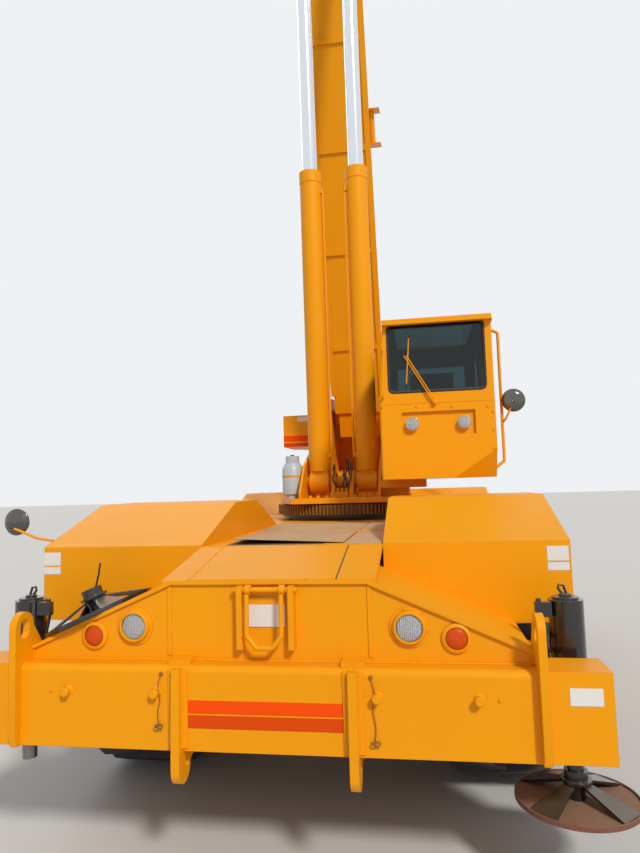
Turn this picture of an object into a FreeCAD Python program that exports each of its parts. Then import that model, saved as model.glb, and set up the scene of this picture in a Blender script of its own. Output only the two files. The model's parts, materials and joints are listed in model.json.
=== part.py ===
"""Rough-terrain mobile crane: two steered axles, four outriggers, slewing upperworks
with a side cab, twin lift rams and a four-section boom.

Machine frame, in millimetres: +X forward (out of the bumper), +Y to the left, +Z up.
The swing axis is the Z axis of the machine frame and the ground is Z = 0.
Every solid is written in the row frame, which is the machine frame moved so that its
origin lies below the middle of the whole crane's box.
"""
import FreeCAD, Part
import math
import os

os.makedirs("parts", exist_ok=True)

Vec = FreeCAD.Vector
X_DIR = Vec(1, 0, 0)
Y_DIR = Vec(0, 1, 0)
Z_DIR = Vec(0, 0, 1)

# Row frame: the fender mirror stands out further on the right than the floats on the left
ROW_SHIFT_Y = 58.5

# Carrier, length and height
BUMPER_X = 3950.0
BUMPER_HALF_WIDTH = 1350.0
BUMPER_LOW = 785.0
BUMPER_TOP = 1211.0
BUMPER_NOSE_RADIUS = 38.0
BOX_DEPTH = 540.0
BOX_WALL = 15.0
LUG_THICK = 40.0
LUG_REACH = 52.0
LUG_TOP = 1480.0
LUG_ROUND = 82.0
LUG_SLOT = (80.0, 106.0)
LUG_SLOT_Z = 1389.0
FACE_X = 3836.0
FACE_TOP = 1631.0
FACE_HALF_TOP = 542.0
LIP_REACH = 18.0
LIP_THICK = 22.0
SIDE_SLOPE_LOW = 1285.0
PLATE = 12.0
DECK_Z = 1752.0
DECK_HALF = 585.0

# Fenders, a hump over each wheel
FENDER_OUT = 1690.0
FENDER_FRONT_X = 3207.0
FENDER_FRONT_TOP = 1761.0
FENDER_CROWN_Z = 2015.0
FENDER_CROWN_X = (1812.0, 2413.0)
FENDER_BACK_X = 1050.0
FENDER_LIP = 125.0
FENDER_WALL_LOW = 1290.0

# Running gear
AXLE_X = 2050.0
TYRE_R = 935.0
TYRE_WIDTH = 750.0
TYRE_BORE_R = 320.0
LUG_COUNT = 22
LUG_SLANT = 0.9
WHEEL_Y = 1295.0
KINGPIN_Y = 858.0
RIM_FLANGE_R = 346.0
RIM_HALF = 288.0

# Frame rails
RAIL_HALF = 430.0
RAIL_TOP = 1600.0
RAIL_WALL = 20.0

# Outriggers
BEAM_TALL = 376.0
BEAM_DEEP = 227.0
HEAD_IN = 1396.0
HEAD_OUT = 1690.0
HEAD_DEPTH = 250.0
JACK_Y = 1580.0
JACK_X_BACK = 435.0
JACK_R = 92.0
JACK_BASE_Z = 700.0
JACK_TOP_Z = 1475.0
JACK_ROD_R = 62.0
STEM_R = 42.0
FLOAT_R = 320.0
FLOAT_BASE_Z = 430.0
FLOAT_PLATE = 14.0
FLOAT_FLANGE_Z = 108.0
FLOAT_TALL = 160.0
FLOAT_FIT = 1.0
STOWED_FLOAT = (3588.0, 1080.0, 2.0)

# Swing gear
GEAR_LOW = 1812.0
GEAR_TOP = 1915.0
GEAR_TEETH = 120
GEAR_TIP_R = 782.0
GEAR_ROOT_R = 752.0
GEAR_BORE_R = 600.0

# Upperworks
BASE_LOW = 1930.0
BASE_TOP = 1985.0
CHEEK_IN = 395.0
CHEEK_OUT = 420.0
BOOM_PIVOT = (-2030.0, 3100.0)
RAM_PIVOT = (300.0, 2150.0)
RAM_Y = 258.0
RAM_PIN_R = 62.0
HEEL_PIN_R = 70.0
PIN_FIT = 0.05
CAB_IN = 500.0
CAB_IN_TOP = 545.0
CAB_OUT = 1478.0
CAB_FRONT = 1650.0
CAB_BACK = -150.0
CAB_LOW = 2150.0
CAB_ROOF = 3535.0
CAB_SKIN = 30.0
CAB_PANEL_TOP = 2800.0
CAB_PANEL = 8.0
CAB_FACET = (160.0, 360.0, 240.0)
CAB_RECESS = ((690.0, 1310.0), (2520.0, 2726.0), 22.0)
WEIGHT_HALF = 1280.0
WEIGHT_Z = (2710.0, 3200.0)
WEIGHT_X = (-3900.0, -2560.0)

# Boom, in its own directions: along, and away from its lower face
BOOM_REST_DEG = 72.0
BOOM_LOW = 330.0
RAM_EYE_ALONG = 6270.0
RAM_EYE_BELOW = 620.0
RAM_EYE_R = 120.0
RAM_EYE_HALF = 88.0
BARREL_R = 120.0
BARREL_LENGTH = 3450.0
ROD_R = 84.0
ROD_START = 3030.0
BASE_TIP = 9900.0
HEAD_ALONG = 11000.0
HEAD_AWAY = -400.0
HEAD_SHEAVE_R = 190.0
HOOK_DROP = 1300.0


def box(x, y, z):
    """Block between low and high values on each axis."""
    return Part.makeBox(x[1] - x[0], y[1] - y[0], z[1] - z[0], Vec(x[0], y[0], z[0]))


def face_of(points):
    return Part.Face(Part.makePolygon(points + [points[0]]))


def plate_xz(points, y):
    """Flat plate: an outline of (x, z) points between two y values."""
    outline = face_of([Vec(px, y[0], pz) for px, pz in points])
    return outline.extrude(Vec(0, y[1] - y[0], 0))


def plate_yz(points, x):
    outline = face_of([Vec(x[0], py, pz) for py, pz in points])
    return outline.extrude(Vec(x[1] - x[0], 0, 0))


def plate_xy(points, z):
    outline = face_of([Vec(px, py, z[0]) for px, py in points])
    return outline.extrude(Vec(0, 0, z[1] - z[0]))


def bar(start, end, radius):
    """Round bar between two points."""
    a, b = Vec(*start), Vec(*end)
    return Part.makeCylinder(radius, (b - a).Length, a, b - a)


def pipe(start, end, outer, inner):
    return bar(start, end, outer).cut(bar(start, end, inner))


def turned(profile, centre, axis):
    """Solid of revolution: (along, radius) points about an axis through centre."""
    side = Y_DIR if abs(axis.x) > 0.5 else X_DIR
    origin = Vec(*centre)
    points = [origin + axis * along + side * radius for along, radius in profile]
    return face_of(points).revolve(origin, axis, 360)


def flip_y(shape):
    return shape.mirror(Vec(0, 0, 0), Y_DIR)


def flip_x(shape):
    return shape.mirror(Vec(0, 0, 0), X_DIR)


def both_sides(shape):
    return Part.makeCompound([shape, flip_y(shape)])


def joined(shapes):
    """One solid from pieces that touch or overlap."""
    result = shapes[0].fuse(shapes[1:]) if len(shapes) > 1 else shapes[0]
    return result.removeSplitter()


def bent_bar(points, radius, bend):
    """Round bar along straight runs joined by equal bends."""
    corners = [Vec(*p) for p in points]
    pieces = []
    last = corners[0]
    for before, corner, after in zip(corners, corners[1:], corners[2:]):
        inward = (before - corner).normalize()
        outward = (after - corner).normalize()
        half = inward.getAngle(outward) / 2
        start = corner + inward * (bend / math.tan(half))
        centre = corner + (inward + outward).normalize() * (bend / math.sin(half))
        disc = Part.Face(Part.Wire([Part.makeCircle(radius, start, inward)]))
        axle_dir = outward.cross(inward)
        pieces.append(Part.makeCylinder(radius, (start - last).Length, last, start - last))
        pieces.append(disc.revolve(centre, axle_dir, 180 - math.degrees(2 * half)))
        last = corner + outward * (bend / math.tan(half))
    pieces.append(Part.makeCylinder(radius, (corners[-1] - last).Length, last, corners[-1] - last))
    return joined(pieces)


def save(node, shape):
    placed = shape.copy()
    placed.translate(Vec(0, ROW_SHIFT_Y, 0))
    placed.exportStep("parts/%s.step" % node)


def end_plate_outline():
    """Side plate of the outrigger box with its rounded lifting lug."""
    back = BUMPER_X - BOX_DEPTH
    front = BUMPER_X + LUG_REACH
    neck = front - 2 * LUG_ROUND
    return [(back, BUMPER_LOW), (front - 20, BUMPER_LOW), (front, BUMPER_LOW + 60),
            (front, LUG_TOP - LUG_ROUND), (neck, LUG_TOP - LUG_ROUND),
            (neck - 90, BUMPER_TOP + 60), (back, BUMPER_TOP + 20)]


def end_plate(y):
    front = BUMPER_X + LUG_REACH
    centre_x = front - LUG_ROUND
    plate = plate_xz(end_plate_outline(), y)
    crown = bar((centre_x, y[0], LUG_TOP - LUG_ROUND), (centre_x, y[1], LUG_TOP - LUG_ROUND), LUG_ROUND)
    plate = plate.fuse(crown)
    half_w = LUG_SLOT[0] / 2
    reach = (LUG_SLOT[1] - LUG_SLOT[0]) / 2
    slot = box((centre_x - half_w, centre_x + half_w), y, (LUG_SLOT_Z - reach, LUG_SLOT_Z + reach))
    for side in (-1, 1):
        z = LUG_SLOT_Z + side * reach
        slot = slot.fuse(bar((centre_x, y[0], z), (centre_x, y[1], z), half_w))
    return plate.cut(slot)


def tow_hook(y_mid):
    """Flat tow hook down the bumper, with its throat behind and a back gusset."""
    half = 23.0
    y = (y_mid - half, y_mid + half)
    face = BUMPER_X
    low = BUMPER_LOW
    shank = plate_xz([(face - 5, low - 60), (face + 46, low - 70), (face + 52, low + 60),
                      (face + 40, BUMPER_TOP - 10), (face - 5, BUMPER_TOP - 10)], y)
    tip = bar((face - 28, y[0], low - 88), (face - 28, y[1], low - 88), 80)
    arm = plate_xz([(face - 108, low - 88), (face + 52, low - 88), (face + 52, low + 4), (face - 260, low + 4)], y)
    gusset = plate_xz([(face - 380, low + 4), (face - 130, low - 48), (face - 100, low - 48), (face - 100, low + 4)],
                      (y_mid - 40, y_mid + 40))
    throat = bar((face - 62, y[0], low - 70), (face - 62, y[1], low - 70), 30)
    return shank.fuse([tip, arm, gusset]).cut(throat)


def outrigger_box():
    """Hollow cross box with two beam bays, end plates and tow hooks."""
    x = (BUMPER_X - BOX_DEPTH, BUMPER_X)
    z = (BUMPER_LOW, BUMPER_TOP)
    half = BUMPER_HALF_WIDTH
    shell = box(x, (-half, half), z)
    nose = [e for e in shell.Edges
            if abs(e.CenterOfMass.x - x[1]) < 1 and abs(e.CenterOfMass.z - z[1]) < 1]
    shell = shell.makeFillet(BUMPER_NOSE_RADIUS, nose)
    for sign in (-1, 1):
        plate = end_plate((half, half + LUG_THICK))
        shell = shell.fuse(plate if sign > 0 else flip_y(plate))
    for front_bay in (True, False):
        bay_x = beam_bay(front_bay)
        shell = shell.cut(box(bay_x, (-half - 60, half + 60),
                              (z[0] + BOX_WALL, z[1] - BOX_WALL)))
    hooks = [tow_hook(s * 458.0) for s in (-1, 1)]
    pads = [box((FACE_X, BUMPER_X - 20), (s * 458.0 - 62, s * 458.0 + 62), (BUMPER_TOP - 4, BUMPER_TOP + 24))
            for s in (-1, 1)]
    return joined([shell] + hooks + pads)


def beam_bay(front_bay):
    """X span of the front or the back bay of an outrigger box."""
    inner = BOX_DEPTH - 2 * BOX_WALL
    middle = BUMPER_X - BOX_DEPTH / 2
    if front_bay:
        return (middle + BOX_WALL / 2, middle + inner / 2)
    return (middle - inner / 2, middle - BOX_WALL / 2)


def outrigger_beam(front_bay):
    """Left beam: square tube in its bay, end box, jack tube and the bracket between them."""
    bay = beam_bay(front_bay)
    middle = (bay[0] + bay[1]) / 2
    x = (middle - BEAM_DEEP / 2, middle + BEAM_DEEP / 2)
    z_mid = (BUMPER_LOW + BUMPER_TOP) / 2
    z = (z_mid - BEAM_TALL / 2, z_mid + BEAM_TALL / 2)
    tube = box(x, (-1200, HEAD_IN + 60), z)
    wall = 16.0
    tube = tube.cut(box((x[0] + wall, x[1] - wall), (-1300, HEAD_IN - 4), (z[0] + wall, z[1] - wall)))
    head = box((BUMPER_X - HEAD_DEPTH, BUMPER_X), (HEAD_IN, HEAD_OUT), (BUMPER_LOW, BUMPER_TOP))
    jack_x = BUMPER_X - JACK_X_BACK
    bridge = box((jack_x - 60, BUMPER_X - HEAD_DEPTH + 5), (HEAD_IN, JACK_Y), (BUMPER_LOW + 30, BUMPER_TOP - 40))
    jack = bar((jack_x, JACK_Y, JACK_BASE_Z), (jack_x, JACK_Y, JACK_TOP_Z), JACK_R)
    cap = bar((jack_x, JACK_Y, JACK_TOP_Z - 4), (jack_x, JACK_Y, JACK_TOP_Z + 14), JACK_R - 22)
    collar = bar((jack_x, JACK_Y, JACK_BASE_Z), (jack_x, JACK_Y, JACK_BASE_Z + 70), JACK_R + 14)
    bore = bar((jack_x, JACK_Y, JACK_BASE_Z - 10), (jack_x, JACK_Y, JACK_TOP_Z - 60), JACK_ROD_R + 6)
    return joined([tube, head, bridge, jack, cap, collar]).cut(bore)


def jack_rod():
    """Jack rod, stepped down to the stem that a float is pinned on."""
    jack_x = BUMPER_X - JACK_X_BACK
    rod = bar((jack_x, JACK_Y, JACK_BASE_Z - 60), (jack_x, JACK_Y, JACK_TOP_Z - 80), JACK_ROD_R)
    stem_low = FLOAT_BASE_Z + FLOAT_FLANGE_Z + FLOAT_FIT
    stem = bar((jack_x, JACK_Y, stem_low), (jack_x, JACK_Y, JACK_BASE_Z - 55), STEM_R)
    return rod.fuse(stem)


def float_pad():
    """Round outrigger float, its base at the origin: rimmed disc, four sloping legs, flange and open socket."""
    disc = Part.makeCylinder(FLOAT_R, FLOAT_PLATE)
    rim = Part.makeCylinder(FLOAT_R, 24).cut(Part.makeCylinder(FLOAT_R - 9, 40))
    post = turned([(0, 0), (0, 46), (FLOAT_FLANGE_Z - 40, 46), (FLOAT_FLANGE_Z - 10, 60), (FLOAT_FLANGE_Z, 60),
                   (FLOAT_FLANGE_Z, 0)], (0, 0, 0), Z_DIR)
    flange = Part.makeCylinder(80, 14, Vec(0, 0, FLOAT_FLANGE_Z - 7))
    socket = Part.makeCylinder(60, FLOAT_TALL - FLOAT_FLANGE_Z, Vec(0, 0, FLOAT_FLANGE_Z))
    pieces = [disc, rim, post, flange, socket]
    foot_r = FLOAT_R - 14
    slab = plate_xz([(40, FLOAT_FLANGE_Z - 18), (40, FLOAT_FLANGE_Z - 4), (foot_r, 22), (foot_r, 6)], (-90, 90))
    wedge = plate_xy([(40, -26), (foot_r - 4, -74), (foot_r - 4, 74), (40, 26)], (0, FLOAT_TALL))
    leg = slab.common(wedge)
    for angle in (45, 135, 225, 315):
        turned_leg = leg.copy()
        turned_leg.rotate(Vec(0, 0, 0), Z_DIR, angle)
        pieces.append(turned_leg)
    bore = Part.makeCylinder(STEM_R + FLOAT_FIT, FLOAT_TALL, Vec(0, 0, FLOAT_FLANGE_Z))
    return joined(pieces).cut(bore)


def jack_with_float():
    """Jack rod with its float, two pieces: the float sits loose on the rod's stem."""
    pad = float_pad()
    pad.translate(Vec(BUMPER_X - JACK_X_BACK, JACK_Y, FLOAT_BASE_Z))
    return Part.makeCompound([jack_rod(), pad])


def sloped_side(x, thick):
    """Sloping side plate of an end housing: (y, z) outline between two x values."""
    top = [(FACE_HALF_TOP, FACE_TOP), (BUMPER_HALF_WIDTH, SIDE_SLOPE_LOW)]
    under = [(BUMPER_HALF_WIDTH, SIDE_SLOPE_LOW - thick), (FACE_HALF_TOP - 4, FACE_TOP - thick)]
    return plate_yz(top + under + [(FACE_HALF_TOP - 4, FACE_TOP)], x)


def end_housing(open_centre):
    """Upper end housing: face plate, sloping sides and the hood up to the deck."""
    back = FENDER_FRONT_X
    face_low = BUMPER_TOP
    outline = [(-BUMPER_HALF_WIDTH, face_low), (BUMPER_HALF_WIDTH, face_low), (BUMPER_HALF_WIDTH, SIDE_SLOPE_LOW),
               (FACE_HALF_TOP, FACE_TOP), (-FACE_HALF_TOP, FACE_TOP), (-BUMPER_HALF_WIDTH, SIDE_SLOPE_LOW)]
    face = plate_yz(outline, (FACE_X - PLATE, FACE_X))
    if open_centre:
        face = face.cut(box((FACE_X - 50, FACE_X + 50), (-500, 500), (face_low + 30, FACE_TOP - 40)))
    edge = FACE_X + LIP_REACH
    hood_top = [(edge, FACE_TOP + 2), (back, DECK_Z), (back, DECK_Z - PLATE), (edge, FACE_TOP + 2 - LIP_THICK)]
    hood = plate_xz(hood_top, (-DECK_HALF, DECK_HALF))
    pieces = [face, hood]
    for sign in (-1, 1):
        side = sloped_side((back, FACE_X + LIP_REACH), LIP_THICK)
        wall = plate_xz([(FACE_X - PLATE, FACE_TOP - 10), (back, DECK_Z - PLATE + 4), (back, 1560),
                         (FACE_X - PLATE, 1560)], (FACE_HALF_TOP - PLATE, FACE_HALF_TOP))
        rib = plate_yz([(RAIL_HALF, face_low), (FACE_HALF_TOP, face_low), (FACE_HALF_TOP, 1590),
                        (RAIL_HALF, 1590)], (back, back + PLATE))
        group = side.fuse([wall, rib])
        pieces.append(group if sign > 0 else flip_y(group))
    return joined(pieces)


def fender():
    """Front left fender: crowned top, front wall, and the walls down its two sides."""
    roof = [(FENDER_FRONT_X, FENDER_FRONT_TOP), (FENDER_CROWN_X[1], FENDER_CROWN_Z),
            (FENDER_CROWN_X[0], FENDER_CROWN_Z), (FENDER_BACK_X, DECK_Z)]
    under = [(px, pz - PLATE) for px, pz in reversed(roof)]
    top = plate_xz(roof + under, (DECK_HALF, FENDER_OUT))
    inner = plate_xz(roof + [(FENDER_BACK_X, DECK_Z - PLATE), (FENDER_FRONT_X, DECK_Z - PLATE)],
                     (DECK_HALF, DECK_HALF + PLATE))
    lip = [(px, pz - FENDER_LIP) for px, pz in reversed(roof)]
    outer = plate_xz(roof + lip, (FENDER_OUT - PLATE, FENDER_OUT))
    slope = (FACE_TOP - SIDE_SLOPE_LOW) / (BUMPER_HALF_WIDTH - FACE_HALF_TOP)
    inner_low = FACE_TOP - slope * (DECK_HALF - FACE_HALF_TOP) - 10
    wall = plate_yz([(DECK_HALF, FENDER_FRONT_TOP), (FENDER_OUT, FENDER_FRONT_TOP), (FENDER_OUT, FENDER_WALL_LOW),
                     (BUMPER_HALF_WIDTH, FENDER_WALL_LOW - 14), (DECK_HALF, inner_low)],
                    (FENDER_FRONT_X - PLATE, FENDER_FRONT_X))
    return joined([top, inner, outer, wall])


def fenders():
    front = both_sides(fender())
    return Part.makeCompound([front, flip_x(front)])


def deck():
    """Flat deck between the fenders, round the swing gear, and over the side tanks."""
    middle = box((-FENDER_BACK_X, FENDER_BACK_X), (-FENDER_OUT, FENDER_OUT), (DECK_Z - PLATE, DECK_Z))
    front = box((FENDER_BACK_X - 5, FENDER_FRONT_X), (-DECK_HALF + 2, DECK_HALF - 2), (DECK_Z - PLATE, DECK_Z))
    back = box((-1950, -FENDER_BACK_X + 5), (-DECK_HALF + 2, DECK_HALF - 2), (DECK_Z - PLATE, DECK_Z))
    plate = middle.fuse([front, back])
    hole = Part.makeCylinder(655, 60, Vec(0, 0, DECK_Z - 40))
    return plate.cut(hole).removeSplitter()


def carrier_frame():
    """Box frame rails, cranked over the axles, and the pedestal of the swing gear."""
    end = BUMPER_X - BOX_DEPTH
    half = [(end, 950), (2880, 950), (2560, 1235), (1540, 1235), (1200, 830)]
    under = half + [(-px, pz) for px, pz in reversed(half)]
    outline = [(-end, RAIL_TOP), (end, RAIL_TOP)] + under
    rails = plate_xz(outline, (-RAIL_HALF, RAIL_HALF))
    inner = face_of([Vec(px, RAIL_WALL - RAIL_HALF, pz) for px, pz in outline]).makeOffset2D(-RAIL_WALL, 2)
    hollow = inner.extrude(Vec(0, 2 * (RAIL_HALF - RAIL_WALL), 0))
    hand_holes = [box((sx * 3405.0 - 30, sx * 3405.0 + 30), (-200, 200), (1100, 1450)) for sx in (-1, 1)]
    rails = rails.cut([hollow] + hand_holes)
    pedestal = turned([(RAIL_TOP - 5, 0), (RAIL_TOP - 5, 640), (GEAR_LOW - 30, 640), (GEAR_LOW - 30, 730),
                       (GEAR_LOW, 730), (GEAR_LOW, 0)], (0, 0, 0), Z_DIR)
    flare = plate_yz([(-RAIL_HALF, 1400), (-640, RAIL_TOP), (-640, 1640), (640, 1640), (640, RAIL_TOP),
                      (RAIL_HALF, 1400)], (-640, 640))
    tops = []
    for sign in (-1, 1):
        x = (1000, FENDER_FRONT_X - 20) if sign > 0 else (-1940, -1000)
        tops.append(box(x, (-300, 300), (RAIL_TOP - 5, DECK_Z - PLATE)))
    return joined([rails, flare, pedestal] + tops)


def swing_gear():
    """Toothed ring under the upperworks: trapezoid teeth on a plain bore."""
    step = 2 * math.pi / GEAR_TEETH
    outline = []
    for i in range(GEAR_TEETH):
        for part, radius in ((-0.30, GEAR_ROOT_R), (-0.14, GEAR_TIP_R), (0.14, GEAR_TIP_R), (0.30, GEAR_ROOT_R)):
            angle = (i + part) * step
            outline.append((radius * math.cos(angle), radius * math.sin(angle)))
    ring = plate_xy(outline, (GEAR_LOW, GEAR_TOP))
    return ring.cut(Part.makeCylinder(GEAR_BORE_R, 200, Vec(0, 0, GEAR_LOW - 50)))


def axle():
    """Front axle: banjo housing, pinion nose, spring pads and the two kingpin yokes."""
    z = TYRE_R
    profile = [(-760, 0), (-760, 128), (-560, 128), (-300, 190), (-150, 245), (150, 245), (300, 190), (560, 128),
               (760, 128), (760, 0)]
    housing = turned(profile, (AXLE_X, 0, z), Y_DIR)
    nose = bar((AXLE_X, 0, z), (AXLE_X - 430, 0, z + 20), 118)
    pieces = [housing, nose]
    for sign in (-1, 1):
        pieces.append(box((AXLE_X - 130, AXLE_X + 130), (sign * 360 - 55, sign * 360 + 55), (z, 1235)))
        yoke_y = sorted((sign * 720.0, sign * (KINGPIN_Y + 62)))
        yoke = box((AXLE_X - 85, AXLE_X + 85), yoke_y, (z - 300, z + 300))
        gap_y = sorted((sign * (KINGPIN_Y - 78), sign * (KINGPIN_Y + 80)))
        yoke = yoke.cut(box((AXLE_X - 140, AXLE_X + 140), gap_y, (z - 215, z + 215)))
        yoke = yoke.cut(bar((AXLE_X, sign * KINGPIN_Y, z - 320), (AXLE_X, sign * KINGPIN_Y, z + 320), 45.05))
        pieces.append(yoke)
    return joined(pieces)


def axles():
    front = axle()
    return Part.makeCompound([front, flip_x(front)])


def knuckle():
    """Front left knuckle: swivel drum with its kingpins, spindle flange and steering arm."""
    z = TYRE_R
    y = KINGPIN_Y
    drum = bar((AXLE_X, y, z - 205), (AXLE_X, y, z + 205), 66)
    pins = bar((AXLE_X, y, z - 298), (AXLE_X, y, z + 298), 45)
    flange = turned([(0, 0), (0, 150), (60, 190), (135, 190), (135, 0)], (AXLE_X, y, z), Y_DIR)
    arm = plate_xy([(AXLE_X - 60, y), (AXLE_X - 60, y + 100), (AXLE_X - 250, y + 30), (AXLE_X - 340, y - 20),
                    (AXLE_X - 340, y - 80), (AXLE_X - 260, y - 80)], (z - 150, z - 112))
    return joined([drum, pins, flange, arm])


def rim():
    """Front left rim: well, flanges, dished disc and planetary hub."""
    y = WHEEL_Y
    barrel = turned([(-RIM_HALF, 268), (-RIM_HALF, 318), (-RIM_HALF - 2, RIM_FLANGE_R), (-RIM_HALF - 22, RIM_FLANGE_R),
                     (-RIM_HALF - 22, 300), (-RIM_HALF - 10, 254), (90, 254), (90, 0), (120, 0), (120, 254),
                     (RIM_HALF + 10, 254), (RIM_HALF + 22, 300), (RIM_HALF + 22, RIM_FLANGE_R),
                     (RIM_HALF + 2, RIM_FLANGE_R), (RIM_HALF, 318), (RIM_HALF, 310), (60, 268)],
                    (AXLE_X, y, TYRE_R), Y_DIR)
    hub = turned([(KINGPIN_Y + 143 - y, 0), (KINGPIN_Y + 143 - y, 185), (91, 185), (91, 232), (190, 232), (205, 205),
                  (245, 190), (262, 150), (262, 0)], (AXLE_X, y, TYRE_R), Y_DIR)
    return joined([barrel, hub])


# Half of the tyre's section, from its middle: distance along the axle, radius, share of the lugs' slant
TYRE_GROOVE = ((16.0, 893.0, 0.0), (340.0, 846.0, 0.85))
TYRE_LUG_TOP = ((16.0, TYRE_R, 0.0), (336.0, 921.0, 0.85))
TYRE_SIDE = ((375.0, 742.0, 1.0), (375.0, 540.0, 1.0), (286.0, 346.0, 1.0), (285.0, TYRE_BORE_R, 1.0))


def tyre():
    """Front left tyre: bulged sidewalls and two staggered rows of slanted lugs, in flat facets."""
    columns = 2 * LUG_COUNT
    step = 2 * math.pi / columns
    centre = Vec(AXLE_X, WHEEL_Y, TYRE_R)

    def point(side, place, column):
        along, radius, turn = place
        angle = (column + turn * LUG_SLANT) * step
        return centre + Vec(radius * math.sin(angle), side * along, radius * math.cos(angle))

    corners = []
    for column in range(columns):
        for side in (-1, 1):
            raised = (column % 2 == 0) == (side > 0)
            crown = TYRE_LUG_TOP if raised else TYRE_GROOVE
            path = [TYRE_GROOVE[0]] + list(crown if raised else crown[1:]) + list(TYRE_SIDE)
            for near, far in zip(path, path[1:]):
                a, b = point(side, near, column), point(side, near, column + 1)
                c, d = point(side, far, column + 1), point(side, far, column)
                corners += [(a, b, c), (a, c, d)]
            if raised:
                for edge in (column, column + 1):
                    rim = [point(side, place, edge) for place in
                           (TYRE_GROOVE[0],) + TYRE_LUG_TOP + (TYRE_SIDE[0], TYRE_GROOVE[1])]
                    corners += [(rim[0], rim[k], rim[k + 1]) for k in (1, 2, 3)]
        for middle in (TYRE_GROOVE[0], TYRE_SIDE[-1]):
            a, b = point(-1, middle, column), point(-1, middle, column + 1)
            c, d = point(1, middle, column + 1), point(1, middle, column)
            corners += [(a, b, c), (a, c, d)]
    shell = Part.makeShell([face_of(list(three)) for three in corners])
    solid = Part.Solid(shell)
    if solid.Volume < 0:
        solid.reverse()
    return solid


def corner_copies(shape):
    """The same piece at front left, front right, rear left and rear right."""
    return {"front_left": shape, "front_right": flip_y(shape), "rear_left": flip_x(shape),
            "rear_right": flip_x(flip_y(shape))}


def tie_rod():
    """Front tie rod between the two steering arms, its eyes below them."""
    z = TYRE_R - 150 - 8
    x = AXLE_X - 300
    y = KINGPIN_Y - 52
    rod = bar((x, -y, z - 24), (x, y, z - 24), 22)
    eyes = [bar((x, s * y, z - 48), (x, s * y, z), 46) for s in (-1, 1)]
    return joined([rod] + eyes)


def side_tanks():
    """Fuel tank on the left, oil tank on the right, each with two steps on its outer side."""
    tank = box((-760, 760), (650, 1480), (760, 1560))
    edges = [e for e in tank.Edges if abs(e.Vertexes[0].Point.x - e.Vertexes[-1].Point.x) > 1000]
    tank = tank.makeFillet(70, edges)
    tank = tank.cut(box((-752, 752), (680, 1450), (800, 1520))).cut(bar((350, 1065, 1500), (350, 1065, 1600), 60))
    hangers = [box((px - 30, px + 30), (RAIL_HALF, 680), (1150, 1270)) for px in (-500, 500)]
    struts = [box((px - 30, px + 30), (1180, 1240), (1540, DECK_Z - PLATE)) for px in (-500, 500)]
    steps = []
    for z in (700.0, 1040.0, 1380.0):
        tread = box((-700, -250), (1470, 1640), (z, z + 30))
        steps.append(tread.cut(box((-660, -290), (1500, 1620), (z - 5, z + 40))))
    stringers = [box((px - 12, px + 12), (1478, 1640), (690, DECK_Z - PLATE)) for px in (-694, -256)]
    return both_sides(joined([tank] + hangers + struts + steps + stringers))


def engine_block():
    return box((-3150, -2050), (-330, 330), (RAIL_TOP, 1890))


def engine_hood():
    """Engine cover between the rear fenders, with its louvre slots."""
    x = (-FENDER_FRONT_X, -1945)
    roof = 1985.0
    shell = plate_yz([(-DECK_HALF, DECK_Z), (-DECK_HALF, roof - 60), (-DECK_HALF + 60, roof),
                      (DECK_HALF - 60, roof), (DECK_HALF, roof - 60), (DECK_HALF, DECK_Z)], x)
    hollow = box((x[0] + PLATE, x[1] - PLATE), (-DECK_HALF + 40, DECK_HALF - 40), (DECK_Z - 60, roof - 70))
    shell = shell.cut(hollow)
    slots = [box((px, px + 40), (-380, 380), (roof - 90, roof + 5)) for px in range(-3050, -2100, 110)]
    return shell.cut(Part.makeCompound(slots))


def grille_door():
    """Radiator door in the rear housing, hung on its left edge: frame and slats."""
    x = (-FACE_X - 16, -FACE_X + 16)
    y = (-492, 492)
    z = (BUMPER_TOP + 38, FACE_TOP - 48)
    frame = box(x, y, z).cut(box((x[0] - 5, x[1] + 5), (y[0] + 45, y[1] - 45), (z[0] + 40, z[1] - 40)))
    slats = []
    count = 8
    pitch = (z[1] - z[0] - 80) / count
    for i in range(count):
        low = z[0] + 40 + pitch * (i + 0.5)
        slats.append(plate_xz([(x[0] + 4, low - 6), (x[0] + 9, low - 10), (x[1] - 4, low + 6), (x[1] - 9, low + 10)],
                              (y[0] + 40, y[1] - 40)))
    barrels = [bar((x[0], y[1], low), (x[0], y[1], low + 70), 9) for low in (z[0] + 20, z[1] - 90)]
    return joined([frame] + slats + barrels)


HEADLIGHT = (745.0, 1390.0)
SIGNAL = (980.0, 1338.0)


def headlights():
    lens = turned([(0, 0), (0, 68), (22, 66), (32, 40), (36, 0)], (FACE_X, HEADLIGHT[0], HEADLIGHT[1]), X_DIR)
    return both_sides(lens)


def lamp_rims():
    """Rings round the head lamps, flat with a raised bead, and round the signal lamps."""
    head = [(0, 69), (0, 103), (6, 103), (8, 88), (26, 84), (32, 77), (30, 69)]
    signal = [(0, 56), (0, 75), (12, 75), (20, 60), (20, 56)]
    rings = [turned(profile, (FACE_X, y, z), X_DIR) for (y, z), profile in ((HEADLIGHT, head), (SIGNAL, signal))]
    return both_sides(Part.makeCompound(rings))


def signal_lamps():
    """Orange lamps at the front, and the four tail lamps."""
    y, z = SIGNAL
    profile = [(0, 0), (0, 55), (16, 53), (26, 30), (28, 0)]
    front = turned(profile, (FACE_X, y, z), X_DIR)
    rear = [turned([(-a, r) for a, r in profile], (-FACE_X, ry, rz), X_DIR) for ry, rz in (HEADLIGHT, SIGNAL)]
    return both_sides(Part.makeCompound([front] + rear))


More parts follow.
